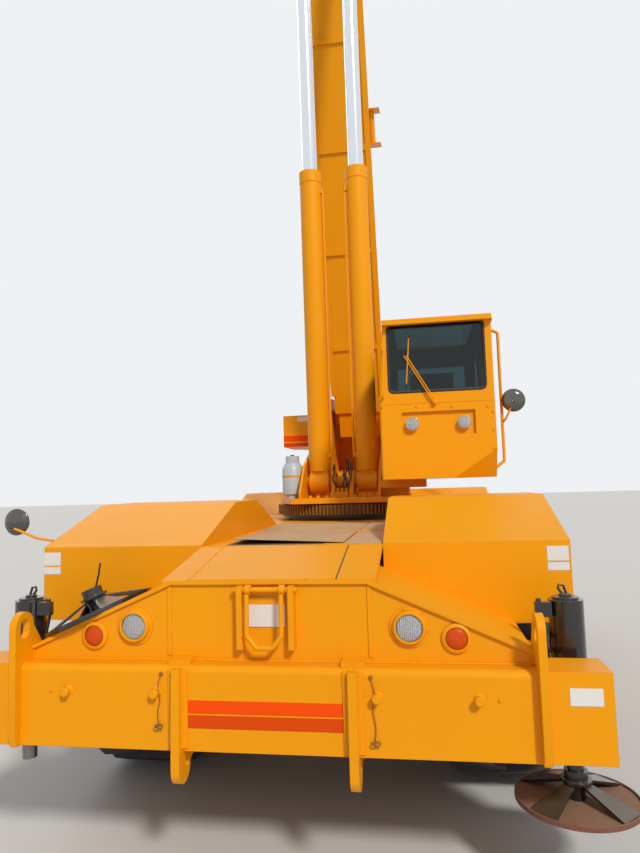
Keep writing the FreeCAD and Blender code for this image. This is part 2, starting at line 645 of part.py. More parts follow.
def bail_bracket():
    """Two posts on the upper face with a cross bar, and the blank plate between them."""
    posts = [box((FACE_X, FACE_X + 62), (s * 139.0 - 16, s * 139.0 + 16), (1282, 1608)) for s in (-1, 1)]
    cross = bar((FACE_X + 42, -172, 1588), (FACE_X + 42, 172, 1588), 14)
    plate = box((FACE_X, FACE_X + 3), (-112, 100), (1385, 1545))
    return joined(posts + [cross]), plate


def tow_bail():
    """Hanging U-shaped bail on the cross bar."""
    x = FACE_X + 88.0
    half = 92.0
    low = 1298.0
    loop = bent_bar([(x - 10, -half, 1570), (x - 4, -half, low + 62), (x - 4, -half + 50, low), (x - 4, half - 50, low),
                     (x - 4, half, low + 62), (x - 10, half, 1570)], 13, 22)
    eyes = [pipe((FACE_X + 42, s * half - 15, 1588), (FACE_X + 42, s * half + 15, 1588), 26, 15) for s in (-1, 1)]
    return loop, eyes


def fender_mirror():
    """Round mirror, its back to the front, on a bent arm from the right fender's front edge."""
    centre = (3150.0, -1926.0, 1934.0)
    dish = turned([(0, 0), (0, 88), (14, 91), (34, 60), (42, 0)], centre, X_DIR)
    arm = bent_bar([(3090, -FENDER_OUT + 8, 1795), (3150, -1782, 1822), (3190, -1926, 1892)], 9, 30)
    arm = arm.cut(box((3000, 3160), (-FENDER_OUT, -1600), (1740, 1860)))
    return joined([dish, arm])


def stowed_float():
    """Right float stowed on the sloping side of the front housing."""
    pad = float_pad()
    slope = math.degrees(math.atan2(FACE_TOP - SIDE_SLOPE_LOW, BUMPER_HALF_WIDTH - FACE_HALF_TOP))
    pad.rotate(Vec(0, 0, 0), X_DIR, slope)
    y = -STOWED_FLOAT[1]
    z = FACE_TOP - (abs(y) - FACE_HALF_TOP) * math.tan(math.radians(slope))
    pad.translate(Vec(STOWED_FLOAT[0], y, z + STOWED_FLOAT[2]))
    return pad


def turret():
    """Upperworks frame: base plate, two cheeks, cross members and the ram lugs."""
    base = plate_xy([(760, -500), (760, 500), (300, 700), (-700, 700), (-960, 500), (-960, -500), (-700, -700),
                     (300, -700)], (BASE_LOW, BASE_TOP))
    hub = Part.makeCylinder(590, 30, Vec(0, 0, BASE_LOW - 28))
    px, pz = BOOM_PIVOT
    outline = [(740, BASE_TOP - 5), (740, 2050), (470, 2330), (-150, 2560), (-1350, 3180), (px + 190, pz + 240),
               (px - 60, pz + 250), (px - 260, pz + 60), (-2540, 2900), (-2540, 2330), (-1700, 2120), (-1060, 2030),
               (-960, BASE_TOP - 5)]
    pieces = [base, hub]
    for sign in (-1, 1):
        y = sorted((sign * CHEEK_IN, sign * CHEEK_OUT))
        cheek = plate_xz(outline, y)
        boss = bar((px, y[0] - (12 if sign < 0 else 0), pz), (px, y[1] + (12 if sign > 0 else 0), pz), 150)
        cheek = cheek.fuse(boss)
        cheek = cheek.cut(bar((px, sign * 380.0, pz), (px, sign * 450.0, pz), HEEL_PIN_R + PIN_FIT))
        pieces.append(cheek)
    for sign in (-1, 1):
        lug = plate_xz([(40, BASE_TOP - 5), (560, BASE_TOP - 5), (395, 2215), (300, 2262), (205, 2215)],
                       sorted((sign * 78.0, sign * 118.0)))
        pieces.append(lug)
    pieces.append(bar((RAM_PIVOT[0], -CHEEK_OUT - 24, RAM_PIVOT[1]), (RAM_PIVOT[0], CHEEK_OUT + 24, RAM_PIVOT[1]),
                      RAM_PIN_R))
    rear_deck = plate_xz([(-900, BASE_TOP - 5), (-1060, 2060), (-1700, 2150), (-2540, 2360), (-2540, 2330),
                          (-1700, 2120), (-1060, 2030), (-960, BASE_TOP - 5)], (-CHEEK_OUT + 5, CHEEK_OUT - 5))
    rear_wall = box((-2560, -2530), (-CHEEK_OUT, CHEEK_OUT), (2335, 2820))
    pieces += [rear_deck, rear_wall]
    shelf = box((CAB_BACK - 20, 700), (CHEEK_OUT - 5, CAB_IN + 380), (2070, CAB_LOW))
    outrig = box((-90, 560), (CHEEK_OUT - 5, 700), (BASE_TOP - 5, 2075))
    pieces += [shelf, outrig]
    return joined(pieces)


def counterweight():
    """Cast rear weight: rounded tail, chamfered lower edges and a notch for the hoist."""
    block = plate_xy([(WEIGHT_X[1], -WEIGHT_HALF), (WEIGHT_X[1], WEIGHT_HALF), (-3350, WEIGHT_HALF), (-3760, 900),
                      (WEIGHT_X[0], 420), (WEIGHT_X[0], -420), (-3760, -900), (-3350, -WEIGHT_HALF)], WEIGHT_Z)
    notch = box((-3050, WEIGHT_X[1] + 10), (-CHEEK_OUT - 10, CHEEK_OUT + 10), (WEIGHT_Z[0] + 120, WEIGHT_Z[1] + 10))
    return block.cut(notch)


def gas_bottle():
    """Heater gas bottle strapped to the turret's right side: foot ring, domed body, neck and collar."""
    x, y = 430.0, -540.0
    low = BASE_TOP
    body = turned([(low + 22, 0), (low + 22, 84), (low + 46, 112), (low + 318, 112), (low + 372, 84), (low + 396, 30),
                   (low + 424, 28), (low + 424, 0)], (x, y, 0), Z_DIR)
    foot = pipe((x, y, low), (x, y, low + 34), 86, 80)
    collar = pipe((x, y, low + 366), (x, y, low + 450), 75, 70)
    gap = box((x - 34, x + 34), (y - 100, y), (low + 388, low + 460))
    return joined([body, foot, collar.cut(gap)])


def hoist():
    """Main hoist in the notch of the weight: flanged drum full of rope, and its motor end."""
    x, z = -2800.0, 3060.0
    drum = turned([(-330, 0), (-330, 225), (-300, 225), (-300, 168), (300, 168), (300, 225), (330, 225), (330, 0)],
                  (x, 0, z), Y_DIR)
    motor = turned([(-386, 0), (-386, 105), (-325, 105), (-325, 0)], (x, 0, z), Y_DIR)
    feet = [plate_xz([(x - 200, WEIGHT_Z[0] + 120), (x + 200, WEIGHT_Z[0] + 120), (x + 70, z + 70), (x - 70, z + 70)],
                     sorted((s * 345.0, s * 375.0))) for s in (-1, 1)]
    shaft = bar((x, -372, z), (x, 372, z), 60)
    return joined([drum, motor, shaft] + feet)


def cab_outline(inset=0.0):
    """Front view of the cab, or of its inside, with the upper part of its inner side leaning."""
    low, high = CAB_LOW + inset, CAB_ROOF - inset
    return [(CAB_IN + inset, low), (CAB_OUT - inset, low), (CAB_OUT - inset, high - 40), (CAB_OUT - inset - 40, high),
            (CAB_IN_TOP + inset + 25, high), (CAB_IN_TOP + inset, high - 25), (CAB_IN + inset, CAB_PANEL_TOP)]


def inner_side_y(z):
    """Outer face of the cab's leaning inner side at one height."""
    return CAB_IN + (CAB_IN_TOP - CAB_IN) * (z - CAB_PANEL_TOP) / (CAB_ROOF - 25 - CAB_PANEL_TOP)


def corner_wedge(grow):
    """Wedge at the cab's lower outer front corner, as long on each axis as its facet times grow."""
    x, y, z = CAB_FRONT + CAB_PANEL, CAB_OUT, CAB_LOW
    corner = Vec(x, y, z)
    ends = [Vec(x - CAB_FACET[0] * grow, y, z), Vec(x, y - CAB_FACET[1] * grow, z), Vec(x, y, z + CAB_FACET[2] * grow)]
    faces = [face_of([corner, a, b]) for a, b in zip(ends, ends[1:] + ends[:1])]
    return Part.Solid(Part.Shell(faces + [face_of(ends)]))


WINDSHIELD = ((590.0, 1410.0), (2905.0, 3500.0))
SIDE_WINDOW = ((700.0, 1560.0), (2815.0, 3420.0))
INNER_WINDOW_X = (-40.0, 1540.0)
INNER_WINDOW_Z = (2850.0, 3420.0)
REAR_WINDOW_Y = (600.0, 1370.0)
ROOF_WINDOW = ((500.0, 1450.0), (640.0, 1340.0))
DOOR_X = (-60.0, 640.0)
DOOR_Z = (2330.0, 3430.0)


def cab_shell():
    """Hollow cab: skin with its window openings and door way, and the recessed front panel."""
    body = plate_yz(cab_outline(), (CAB_BACK, CAB_FRONT))
    room = plate_yz(cab_outline(CAB_SKIN), (CAB_BACK + CAB_SKIN, CAB_FRONT - CAB_SKIN)).cut(corner_wedge(1.26))
    body = body.cut(room)
    panel = box((CAB_FRONT - 5, CAB_FRONT + CAB_PANEL), (CAB_IN + 10, CAB_OUT), (CAB_LOW, CAB_PANEL_TOP))
    recess_y, recess_z, recess_deep = CAB_RECESS
    recess = box((CAB_FRONT - recess_deep, CAB_FRONT + CAB_PANEL + 5), recess_y, recess_z)
    body = body.fuse(panel).cut(recess).cut(corner_wedge(1.0))
    visor = box((CAB_FRONT - 5, CAB_FRONT + 70), (CAB_IN_TOP, CAB_OUT), (CAB_ROOF - 45, CAB_ROOF))
    body = body.fuse(visor)
    cuts = [box((CAB_FRONT - 80, CAB_FRONT + 20), WINDSHIELD[0], WINDSHIELD[1]),
            box(SIDE_WINDOW[0], (CAB_OUT - 80, CAB_OUT + 20), SIDE_WINDOW[1]),
            box(INNER_WINDOW_X, (CAB_IN - 20, CAB_IN_TOP + 80), INNER_WINDOW_Z),
            box((CAB_BACK - 20, CAB_BACK + 80), REAR_WINDOW_Y, INNER_WINDOW_Z),
            box(ROOF_WINDOW[0], ROOF_WINDOW[1], (CAB_ROOF - 80, CAB_ROOF + 20)),
            box(DOOR_X, (CAB_OUT - 80, CAB_OUT + 20), DOOR_Z)]
    body = body.cut(Part.makeCompound(cuts))
    rails = [box((-900, 660), (CAB_OUT - 2, CAB_OUT + 22), (z, z + 22)) for z in (DOOR_Z[0] - 58, DOOR_Z[1] + 36)]
    rail_posts = box((-900, -868), (CAB_OUT - 26, CAB_OUT + 22), (DOOR_Z[0] - 58, DOOR_Z[1] + 58))
    rail_back = box((-900, CAB_BACK + 5), (CAB_OUT - 26, CAB_OUT - 2), (DOOR_Z[0] - 58, DOOR_Z[0] - 36))
    rail_high = box((-900, CAB_BACK + 5), (CAB_OUT - 26, CAB_OUT - 2), (DOOR_Z[1] + 36, DOOR_Z[1] + 58))
    return joined([body] + rails + [rail_posts, rail_back, rail_high])


def cab_glass():
    """The fixed panes, seated in their openings."""
    low, high = INNER_WINDOW_Z
    inner_corners = ((low, 10), (low, 18), (high, 18), (high, 10))
    panes = [box((CAB_FRONT - 20, CAB_FRONT - 12), WINDSHIELD[0], WINDSHIELD[1]),
             box(SIDE_WINDOW[0], (CAB_OUT - 18, CAB_OUT - 10), SIDE_WINDOW[1]),
             plate_yz([(inner_side_y(z) + dy, z) for z, dy in inner_corners], INNER_WINDOW_X),
             box((CAB_BACK + 10, CAB_BACK + 18), REAR_WINDOW_Y, INNER_WINDOW_Z),
             box(ROOF_WINDOW[0], ROOF_WINDOW[1], (CAB_ROOF - 18, CAB_ROOF - 10))]
    return Part.makeCompound(panes)


def cab_door():
    """Sliding door outside the cab's left wall: frame, lower panel and handle."""
    y = (CAB_OUT + 6, CAB_OUT + 30)
    x = (DOOR_X[0] - 30, DOOR_X[1] + 30)
    z = (DOOR_Z[0] - 28, DOOR_Z[1] + 28)
    panel = box(x, y, z)
    panel = panel.cut(box((x[0] + 70, x[1] - 70), (y[0] - 5, y[1] + 5), (2815, z[1] - 70)))
    handle = bent_bar([(560, y[1] - 2, 2640), (560, y[1] + 40, 2640), (560, y[1] + 40, 2480), (560, y[1] - 2, 2480)],
                      9, 18)
    return joined([panel, handle])


def door_glass():
    x = (DOOR_X[0] - 30, DOOR_X[1] + 30)
    top = DOOR_Z[1] + 28
    return box((x[0] + 70, x[1] - 70), (CAB_OUT + 14, CAB_OUT + 22), (2815, top - 70))


def cab_seat():
    """Operator's seat: pedestal, cushion, backrest and arm pods."""
    pedestal = box((300, 700), (800, 1160), (CAB_LOW + CAB_SKIN, 2560))
    cushion = box((260, 790), (740, 1220), (2560, 2680))
    back = plate_xz([(330, 2680), (440, 2680), (330, 3270), (240, 3270)], (750, 1210))
    shapes = [pedestal, cushion, back]
    for y in (650.0, 1230.0):
        shapes.append(box((330, 800), (y, y + 80), (2640, 2790)))
    shapes.append(box((420, 560), (660, 1300), (2600, 2660)))
    return joined(shapes)


def cab_controls():
    """Dash pod, steering column with its wheel, and two pedals."""
    pod = plate_xz([(1330, CAB_LOW + CAB_SKIN), (1600, CAB_LOW + CAB_SKIN), (1600, 2740), (1480, 2800), (1330, 2700)],
                   (700, 1180))
    column = bar((1380, 980, 2660), (1180, 980, 2830), 32)
    wheel = Part.makeTorus(185, 15, Vec(1150, 980, 2856), Vec(-0.76, 0, 0.65))
    spoke = bar((1150, 800, 2856), (1150, 1160, 2856), 11)
    hub = bar((1200, 980, 2813), (1140, 980, 2864), 38)
    pedals = [box((1180, 1300), (y, y + 90), (CAB_LOW + CAB_SKIN, CAB_LOW + CAB_SKIN + 70)) for y in (880.0, 1050.0)]
    return Part.makeCompound([joined([pod, column, wheel, spoke, hub])] + pedals)


def cab_rails():
    """Grab rails on the cab's front corners and the round mirror, its back to the front, on its arm."""
    front = CAB_FRONT
    x = front - 150
    y = CAB_OUT + 70
    tall = bent_bar([(x, CAB_OUT - 8, 3448), (x, y, 3410), (x, y, 2285), (x, CAB_OUT - 8, 2224)], 13, 26)
    tall = tall.cut(box((x - 40, x + 40), (CAB_OUT - 40, CAB_OUT), (2180, 3500)))
    low_y, high_y = (inner_side_y(z) + 26 for z in (2860, 3290))
    short = bent_bar([(front, high_y, 3290), (front + 62, high_y, 3290), (front + 62, low_y, 2860),
                      (front, low_y, 2860)], 11, 28)
    arm = bent_bar([(x, y, 2612), (x + 40, y + 30, 2650), (x + 76, y + 95, 2795)], 9, 25)
    dish = turned([(0, 0), (0, 97), (12, 100), (30, 68), (38, 0)], (x + 42, y + 95, 2800), X_DIR)
    return joined([tall, arm, dish]), short


def work_lamps():
    """Two work lamps in the recess of the cab's front panel."""
    lamps = []
    for y in (775.0, 1216.0):
        lamps.append(turned([(0, 0), (0, 50), (14, 58), (44, 58), (56, 44), (60, 0)],
                            (CAB_FRONT - CAB_RECESS[2], y, 2622), X_DIR))
    return Part.makeCompound(lamps)


# Boom sections, outermost first:
# node, lower half width, upper half width, lower face, upper face, wall, inner end, outer end
SECTIONS = (
    ("boom_base", 335.0, 270.0, 330.0, 560.0, 10.0, -240.0, BASE_TIP),
    ("boom_inner_mid", 308.0, 243.0, 303.0, 533.0, 9.0, 760.0, BASE_TIP + 250),
    ("boom_outer_mid", 282.0, 217.0, 277.0, 507.0, 9.0, 900.0, BASE_TIP + 480),
    ("boom_fly", 256.0, 191.0, 251.0, 481.0, 9.0, 1040.0, BASE_TIP + 700),
)
GUIDE_ALONG = 3640.0
RIB_STEP = 1270.0
RIB_FIRST = 1025.0
HEEL_END = 110.0
HEEL = (290.0, 235.0, 300.0, 540.0)
STRIP_HALF = (300.0, 372.0)
JIB_PINS = ((HEAD_ALONG + 60, -130.0), (BASE_TIP + 1000, 60.0))
TOP_SHEAVE_AWAY = 460.0
FALL_Y = (-130.0, 0.0, 130.0)


def boom_outline(low_half, top_half, low, top, inset, along):
    """Section across the boom at one distance along it, in boom directions."""
    low_half -= inset
    top_half -= inset
    return [Vec(along, -low_half, -low + inset), Vec(along, low_half, -low + inset),
            Vec(along, top_half, top - inset), Vec(along, -top_half, top - inset)]


def boom_tube(low_half, top_half, low, top, wall, start, end):
    length = Vec(end - start, 0, 0)
    outer = face_of(boom_outline(low_half, top_half, low, top, 0, start)).extrude(length)
    inner = face_of(boom_outline(low_half, top_half, low, top, wall, start - 5)).extrude(length + Vec(10, 0, 0))
    return outer.cut(inner)


def boom_collar(section, along, length, rise):
    """Stiffening collar round the outer end of a section."""
    _, low_half, top_half, low, top, wall, _, _ = section
    outer = face_of(boom_outline(low_half, top_half, low, top, -rise, along)).extrude(Vec(length, 0, 0))
    inner = face_of(boom_outline(low_half, top_half, low, top, wall, along - 5)).extrude(Vec(length + 10, 0, 0))
    return outer.cut(inner)


def to_rest(shape):
    """From boom directions (along X from the pivot) to the machine frame at rest."""
    placed = shape.copy()
    placed.rotate(Vec(0, 0, 0), Y_DIR, -BOOM_REST_DEG)
    placed.translate(Vec(BOOM_PIVOT[0], 0, BOOM_PIVOT[1]))
    return placed


def boom_base():
    """Base section: tube, heel pivot, edge strips, cross ribs, ram clevis and rope guide."""
    section = SECTIONS[0]
    _, low_half, top_half, low, top, wall, start, end = section
    tube = boom_tube(low_half, top_half, low, top, wall, HEEL_END, end)
    heel = boom_tube(*HEEL, wall * 2, start, HEEL_END + 4)
    heel_cut = plate_xz([(start - 10, 120), (start - 10, top + 20), (HEEL_END - 40, top + 20)], (-500, 500))
    bulkhead = face_of(boom_outline(low_half, top_half, low, top, 1, HEEL_END)).extrude(Vec(14, 0, 0))
    pieces = [tube, heel.cut(heel_cut), bulkhead, boom_collar(section, end - 150, 150, 22)]
    pieces.append(bar((0, -372, 0), (0, 372, 0), 120))
    pieces.append(bar((0, -436, 0), (0, 436, 0), HEEL_PIN_R))
    for sign in (-1, 1):
        y = sorted((sign * STRIP_HALF[0], sign * STRIP_HALF[1]))
        pieces.append(box((360, end - 140), y, (-low - 18, -low + 4)))
        for cheek_y in ((RAM_Y - 120, RAM_Y - 96), (RAM_Y + 96, RAM_Y + 120)):
            cheek = plate_xz([(RAM_EYE_ALONG - 560, -low + 2), (RAM_EYE_ALONG - 150, -RAM_EYE_BELOW + 20),
                              (RAM_EYE_ALONG - 90, -RAM_EYE_BELOW - 105), (RAM_EYE_ALONG + 90, -RAM_EYE_BELOW - 105),
                              (RAM_EYE_ALONG + 150, -RAM_EYE_BELOW + 20), (RAM_EYE_ALONG + 560, -low + 2)],
                             sorted((sign * cheek_y[0], sign * cheek_y[1])))
            pieces.append(cheek)
        boss_y = sorted((sign * (RAM_Y + 116), sign * (RAM_Y + 140)))
        pieces.append(bar((RAM_EYE_ALONG, boss_y[0], -RAM_EYE_BELOW), (RAM_EYE_ALONG, boss_y[1], -RAM_EYE_BELOW), 74))
    along = RIB_FIRST
    while along < end - 300:
        if abs(along - RAM_EYE_ALONG) > 400:
            pieces.append(box((along - 34, along + 34), (-STRIP_HALF[0] - 2, STRIP_HALF[0] + 2), (-low - 22, -low + 3)))
        along += RIB_STEP
    inside = face_of(boom_outline(low_half, top_half, low, top, wall / 2, 0)).extrude(Vec(end - 200, 0, 0))
    guide = [piece.cut(inside) for piece in rope_guide(GUIDE_ALONG)]
    return joined(pieces + guide)


def rope_guide(along):
    """Bracket with guide rollers on the boom's left side."""
    y = 300.0
    plates = [box((along + dx, along + dx + 14), (y, y + 190), (-90, 190)) for dx in (0.0, 420.0)]
    base = box((along - 30, along + 470), (y - 35, y + 12), (-130, 230))
    rollers = [bar((along, y + dy, dz), (along + 434, y + dy, dz), 34) for dy, dz in ((80.0, 0.0), (80.0, 110.0))]
    return [base] + plates + rollers


def mid_section(index):
    section = SECTIONS[index]
    tube = boom_tube(*section[1:])
    collar_rise = 15.0 + 2
    return joined([tube, boom_collar(section, section[7] - 110, 110, collar_rise)])


def boom_fly():
    """Innermost section with the boom head: side plates, lower and upper sheaves, jib pins."""
    section = SECTIONS[3]
    tube = boom_tube(*section[1:])
    end = section[7]
    pieces = [tube, boom_collar(section, end - 90, 90, 15)]
    for sign in (-1, 1):
        y = sorted((sign * 205.0, sign * 235.0))
        plate = plate_xz([(end - 70, -250), (end - 70, 470), (end + 80, 590), (end + 290, 590), (end + 350, 480),
                          (HEAD_ALONG + 130, -250), (HEAD_ALONG + 130, -450), (HEAD_ALONG + 60, -520),
                          (HEAD_ALONG - 80, -520), (end + 60, -330)], y)
        for pin_along, pin_away in JIB_PINS:
            plate = plate.cut(bar((pin_along, sign * 190.0, pin_away), (pin_along, sign * 250.0, pin_away), 26))
        pieces.append(plate)
    pieces.append(bar((HEAD_ALONG, -236, HEAD_AWAY), (HEAD_ALONG, 236, HEAD_AWAY), 60))
    pieces.append(bar((end + 190, -236, TOP_SHEAVE_AWAY), (end + 190, 236, TOP_SHEAVE_AWAY), 45))
    for y in FALL_Y:
        pieces.append(sheave((HEAD_ALONG, y, HEAD_AWAY), HEAD_SHEAVE_R, 46))
    pieces.append(sheave((end + 190, 0, TOP_SHEAVE_AWAY), HEAD_SHEAVE_R, 46))
    pieces.append(box((end - 75, end - 45), (-215, 215), (-245, 465)))
    return joined(pieces)


def sheave(centre, radius, width):
    """Grooved rope wheel about an axis along Y."""
    half = width / 2
    return turned([(-half, 40), (-half, radius), (-half + 9, radius), (0, radius - 26), (half - 9, radius),
                   (half, radius), (half, 40)], centre, Y_DIR)


def boom_point(along, away):
    """Machine x, z of a point given along the boom and away from its lower face."""
    a = math.radians(BOOM_REST_DEG)
    return (BOOM_PIVOT[0] + along * math.cos(a) - away * math.sin(a),
            BOOM_PIVOT[1] + along * math.sin(a) + away * math.cos(a))


def ram_frame():
    """Lower pin, upper pin and length of the lift rams at rest."""
    top_x, top_z = boom_point(RAM_EYE_ALONG, -RAM_EYE_BELOW)
    length = math.hypot(top_x - RAM_PIVOT[0], top_z - RAM_PIVOT[1])
    angle = math.degrees(math.atan2(top_z - RAM_PIVOT[1], top_x - RAM_PIVOT[0]))
    return length, angle


def along_ram(shape):
    """From ram directions (X along the ram from its lower pin) to the machine frame."""
    _, angle = ram_frame()
    placed = shape.copy()
    placed.rotate(Vec(0, 0, 0), Y_DIR, -angle)
    placed.translate(Vec(RAM_PIVOT[0], 0, RAM_PIVOT[1]))
    return placed


def lift_barrels():
    """Two ram barrels with their lower eyes, gland heads, ports and transfer pipes."""
    rams = []
    for sign in (-1, 1):
        y = sign * RAM_Y
        barrel = turned([(120, 0), (120, BARREL_R), (BARREL_LENGTH - 130, BARREL_R), (BARREL_LENGTH - 130, BARREL_R + 4),
                         (BARREL_LENGTH, BARREL_R + 4), (BARREL_LENGTH, ROD_R + 0.4), (170, ROD_R + 0.4), (170, 0)],
                        (0, y, 0), X_DIR)
        eye_y = (y - 104, y + 104)
        eye = bar((0, eye_y[0], 0), (0, eye_y[1], 0), 118)
        neck = box((0, 160), (y - 90, y + 90), (-85, 85))
        bore = bar((0, y - 130, 0), (0, y + 130, 0), RAM_PIN_R + PIN_FIT)
        pipe_y = y - sign * (BARREL_R + 16)
        line = bar((260, pipe_y, -30), (BARREL_LENGTH - 200, pipe_y, -30), 13)
        skin_y = y - sign * (BARREL_R - 22)
        ports = [box((along, along + 50), sorted((skin_y, pipe_y)), (-50, -8)) for along in (262.0, BARREL_LENGTH - 252)]
        rams.append(joined([barrel, eye, neck] + ports + [line]).cut(bore))
    return along_ram(Part.makeCompound(rams))


def lift_rods():
    """Two chromed rods with the eyes that meet the boom's clevis, each round its own pin core."""
    length, _ = ram_frame()
    rods = []
    for sign in (-1, 1):
        y = sign * RAM_Y
        rod = turned([(ROD_START, 0), (ROD_START, ROD_R), (length - 80, ROD_R), (length - 80, 0)], (0, y, 0), X_DIR)
        eye = bar((length, y - RAM_EYE_HALF, 0), (length, y + RAM_EYE_HALF, 0), RAM_EYE_R)
        rods.append(joined([rod, eye]))
    return along_ram(Part.makeCompound(rods))


def hook_block():
    """Hook block hung below the boom head: falls of rope, cheeks, sheaves and hook."""
    head_x, head_z = boom_point(HEAD_ALONG, HEAD_AWAY)
    z = head_z - HOOK_DROP
    reach = HEAD_SHEAVE_R - 14
    falls = []
    for y in FALL_Y:
        for side in (-1, 1):
            x = head_x + side * reach
            falls.append(bar((x, y, z), (x, y, head_z - 115), 10))
    rims = [sheave((head_x, y, z), HEAD_SHEAVE_R, 46) for y in FALL_Y]
    cheeks = [box((head_x - 200, head_x + 200), sorted((s * 170.0, s * 200.0)), (z - 330, z + 190)) for s in (-1, 1)]
    pin = bar((head_x, -215, z), (head_x, 215, z), 48)
    yoke = box((head_x - 90, head_x + 90), (-201, 201), (z - 345, z - 265))
    shank = bar((head_x, 0, z - 470), (head_x, 0, z - 260), 45)
    bowl = Part.makeTorus(105, 38, Vec(head_x, 0, z - 610), Y_DIR)
    mouth = box((head_x - 220, head_x - 40), (-80, 80), (z - 640, z - 470))
    bowl = bowl.cut(mouth)
    return joined([pin, yoke, shank, bowl] + rims + cheeks + falls)


def build():
    plate_bracket, blank_plate = bail_bracket()
    loop, eyes = tow_bail()
    rails_out, rail_in = cab_rails()
    save("carrier_frame", carrier_frame())
    box_front = outrigger_box()
    save("outrigger_boxes", Part.makeCompound([box_front, flip_x(box_front)]))
    save("front_housing", end_housing(False))
    save("rear_housing", flip_x(end_housing(True)))
    save("deck", deck())
    save("fenders", fenders())
    save("engine_block", engine_block())
    save("engine_hood", engine_hood())
    save("grille_door", grille_door())
    save("side_tanks", side_tanks())
    save("headlights", headlights())
    save("lamp_rims", lamp_rims())
    save("signal_lamps", signal_lamps())
    save("bail_bracket", Part.makeCompound([plate_bracket, blank_plate]))
    save("tow_bail", joined([loop] + eyes))
    save("stowed_float", stowed_float())
    save("fender_mirror", fender_mirror())
    save("swing_gear", swing_gear())
    save("axles", axles())
    for corner, shape in corner_copies(knuckle()).items():
        save("knuckle_" + corner, shape)
    for corner, shape in corner_copies(rim()).items():
        save("rim_" + corner, shape)
    for corner, shape in corner_copies(tyre()).items():
        save("tyre_" + corner, shape)
    rod = tie_rod()
    save("tie_rod_front", rod)
    save("tie_rod_rear", flip_x(rod))
    left, right = outrigger_beam(True), flip_y(outrigger_beam(False))
    save("outrigger_beam_front_left", left)
    save("outrigger_beam_front_right", right)
    save("outrigger_beam_rear_left", flip_x(left))
    save("outrigger_beam_rear_right", flip_x(right))
    jacks = corner_copies(jack_with_float())
    jacks["front_right"] = flip_y(jack_rod())
    for corner, shape in jacks.items():
        save("jack_" + corner, shape)
    save("turret", turret())
    save("counterweight", counterweight())
    save("hoist", hoist())
    save("gas_bottle", gas_bottle())
    save("cab_shell", cab_shell())
    save("cab_glass", cab_glass())
    save("cab_door", cab_door())
    save("door_glass", door_glass())
    save("cab_seat", cab_seat())
    save("cab_controls", cab_controls())
    save("cab_rails", Part.makeCompound([rails_out, rail_in]))
    save("work_lamps", work_lamps())
    save("boom_base", to_rest(boom_base()))
    save("boom_inner_mid", to_rest(mid_section(1)))
    save("boom_outer_mid", to_rest(mid_section(2)))
    save("boom_fly", to_rest(boom_fly()))
    save("lift_barrels", lift_barrels())
    save("lift_rods", lift_rods())
    save("hook_block", hook_block())
    print("ram length, angle:", ram_frame())


build()
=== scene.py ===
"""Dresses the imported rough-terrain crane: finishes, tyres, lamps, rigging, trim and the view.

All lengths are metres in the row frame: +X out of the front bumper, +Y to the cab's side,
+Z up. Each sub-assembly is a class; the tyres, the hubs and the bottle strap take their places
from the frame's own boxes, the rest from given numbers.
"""
from __future__ import annotations

import json
import logging
import math
from dataclasses import dataclass, field
from enum import Enum
from typing import Any, Iterable, Sequence

import bmesh
import bpy
from mathutils import Matrix, Vector

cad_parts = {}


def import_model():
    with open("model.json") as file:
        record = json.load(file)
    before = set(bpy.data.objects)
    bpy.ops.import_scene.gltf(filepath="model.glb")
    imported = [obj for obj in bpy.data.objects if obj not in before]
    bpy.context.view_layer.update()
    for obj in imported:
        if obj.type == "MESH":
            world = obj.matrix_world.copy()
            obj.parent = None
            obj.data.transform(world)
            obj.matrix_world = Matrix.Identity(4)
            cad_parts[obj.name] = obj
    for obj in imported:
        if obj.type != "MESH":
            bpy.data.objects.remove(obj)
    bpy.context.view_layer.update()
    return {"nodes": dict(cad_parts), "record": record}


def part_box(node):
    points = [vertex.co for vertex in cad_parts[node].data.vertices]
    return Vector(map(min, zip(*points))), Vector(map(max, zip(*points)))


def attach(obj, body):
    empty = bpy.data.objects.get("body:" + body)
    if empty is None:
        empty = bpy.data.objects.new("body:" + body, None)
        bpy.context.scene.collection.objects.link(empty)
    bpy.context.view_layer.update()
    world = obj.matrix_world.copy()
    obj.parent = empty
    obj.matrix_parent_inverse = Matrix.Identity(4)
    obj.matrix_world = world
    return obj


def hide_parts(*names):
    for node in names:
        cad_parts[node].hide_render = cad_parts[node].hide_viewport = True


log = logging.getLogger("crane")

Point = Sequence[float]
Colour = tuple[float, float, float]

ROW_SHIFT = 0.0585      # Y of the swing axis in the row frame
BUMPER_X = 3.950        # front face of the bumper
HOUSING_X = 3.836       # front face of the housing
FENDER_X = 3.207        # front wall of the front fenders
JACK_X, JACK_Y = 3.515, 1.580
WHEEL_Y = 1.295         # middle of a tyre
FLOOR_REACH = 80.0
TURRET_FOOT = 1.984     # underside of the turret's plate
CORNER_ANGLE = 32.0     # degrees between two faces above which their edge is crisp
MERGE_DISTANCE = 2e-5   # between vertices of a CAD node that are one
CORNERS = {"front_left": (1, 1), "front_right": (1, -1), "rear_left": (-1, 1), "rear_right": (-1, -1)}
ALONG_X, ALONG_Y, ALONG_Z = (1, 0, 0), (0, 1, 0), (0, 0, 1)
TURN_TO_X = (0.0, math.radians(90.0), 0.0)


class Shared(Enum):
    """Shader node groups that several finishes place."""

    DUST = "settled_dust"
    EDGE = "worn_edge"
    MOTTLE = "colour_mottle"
    GRAIN = "fine_grain"


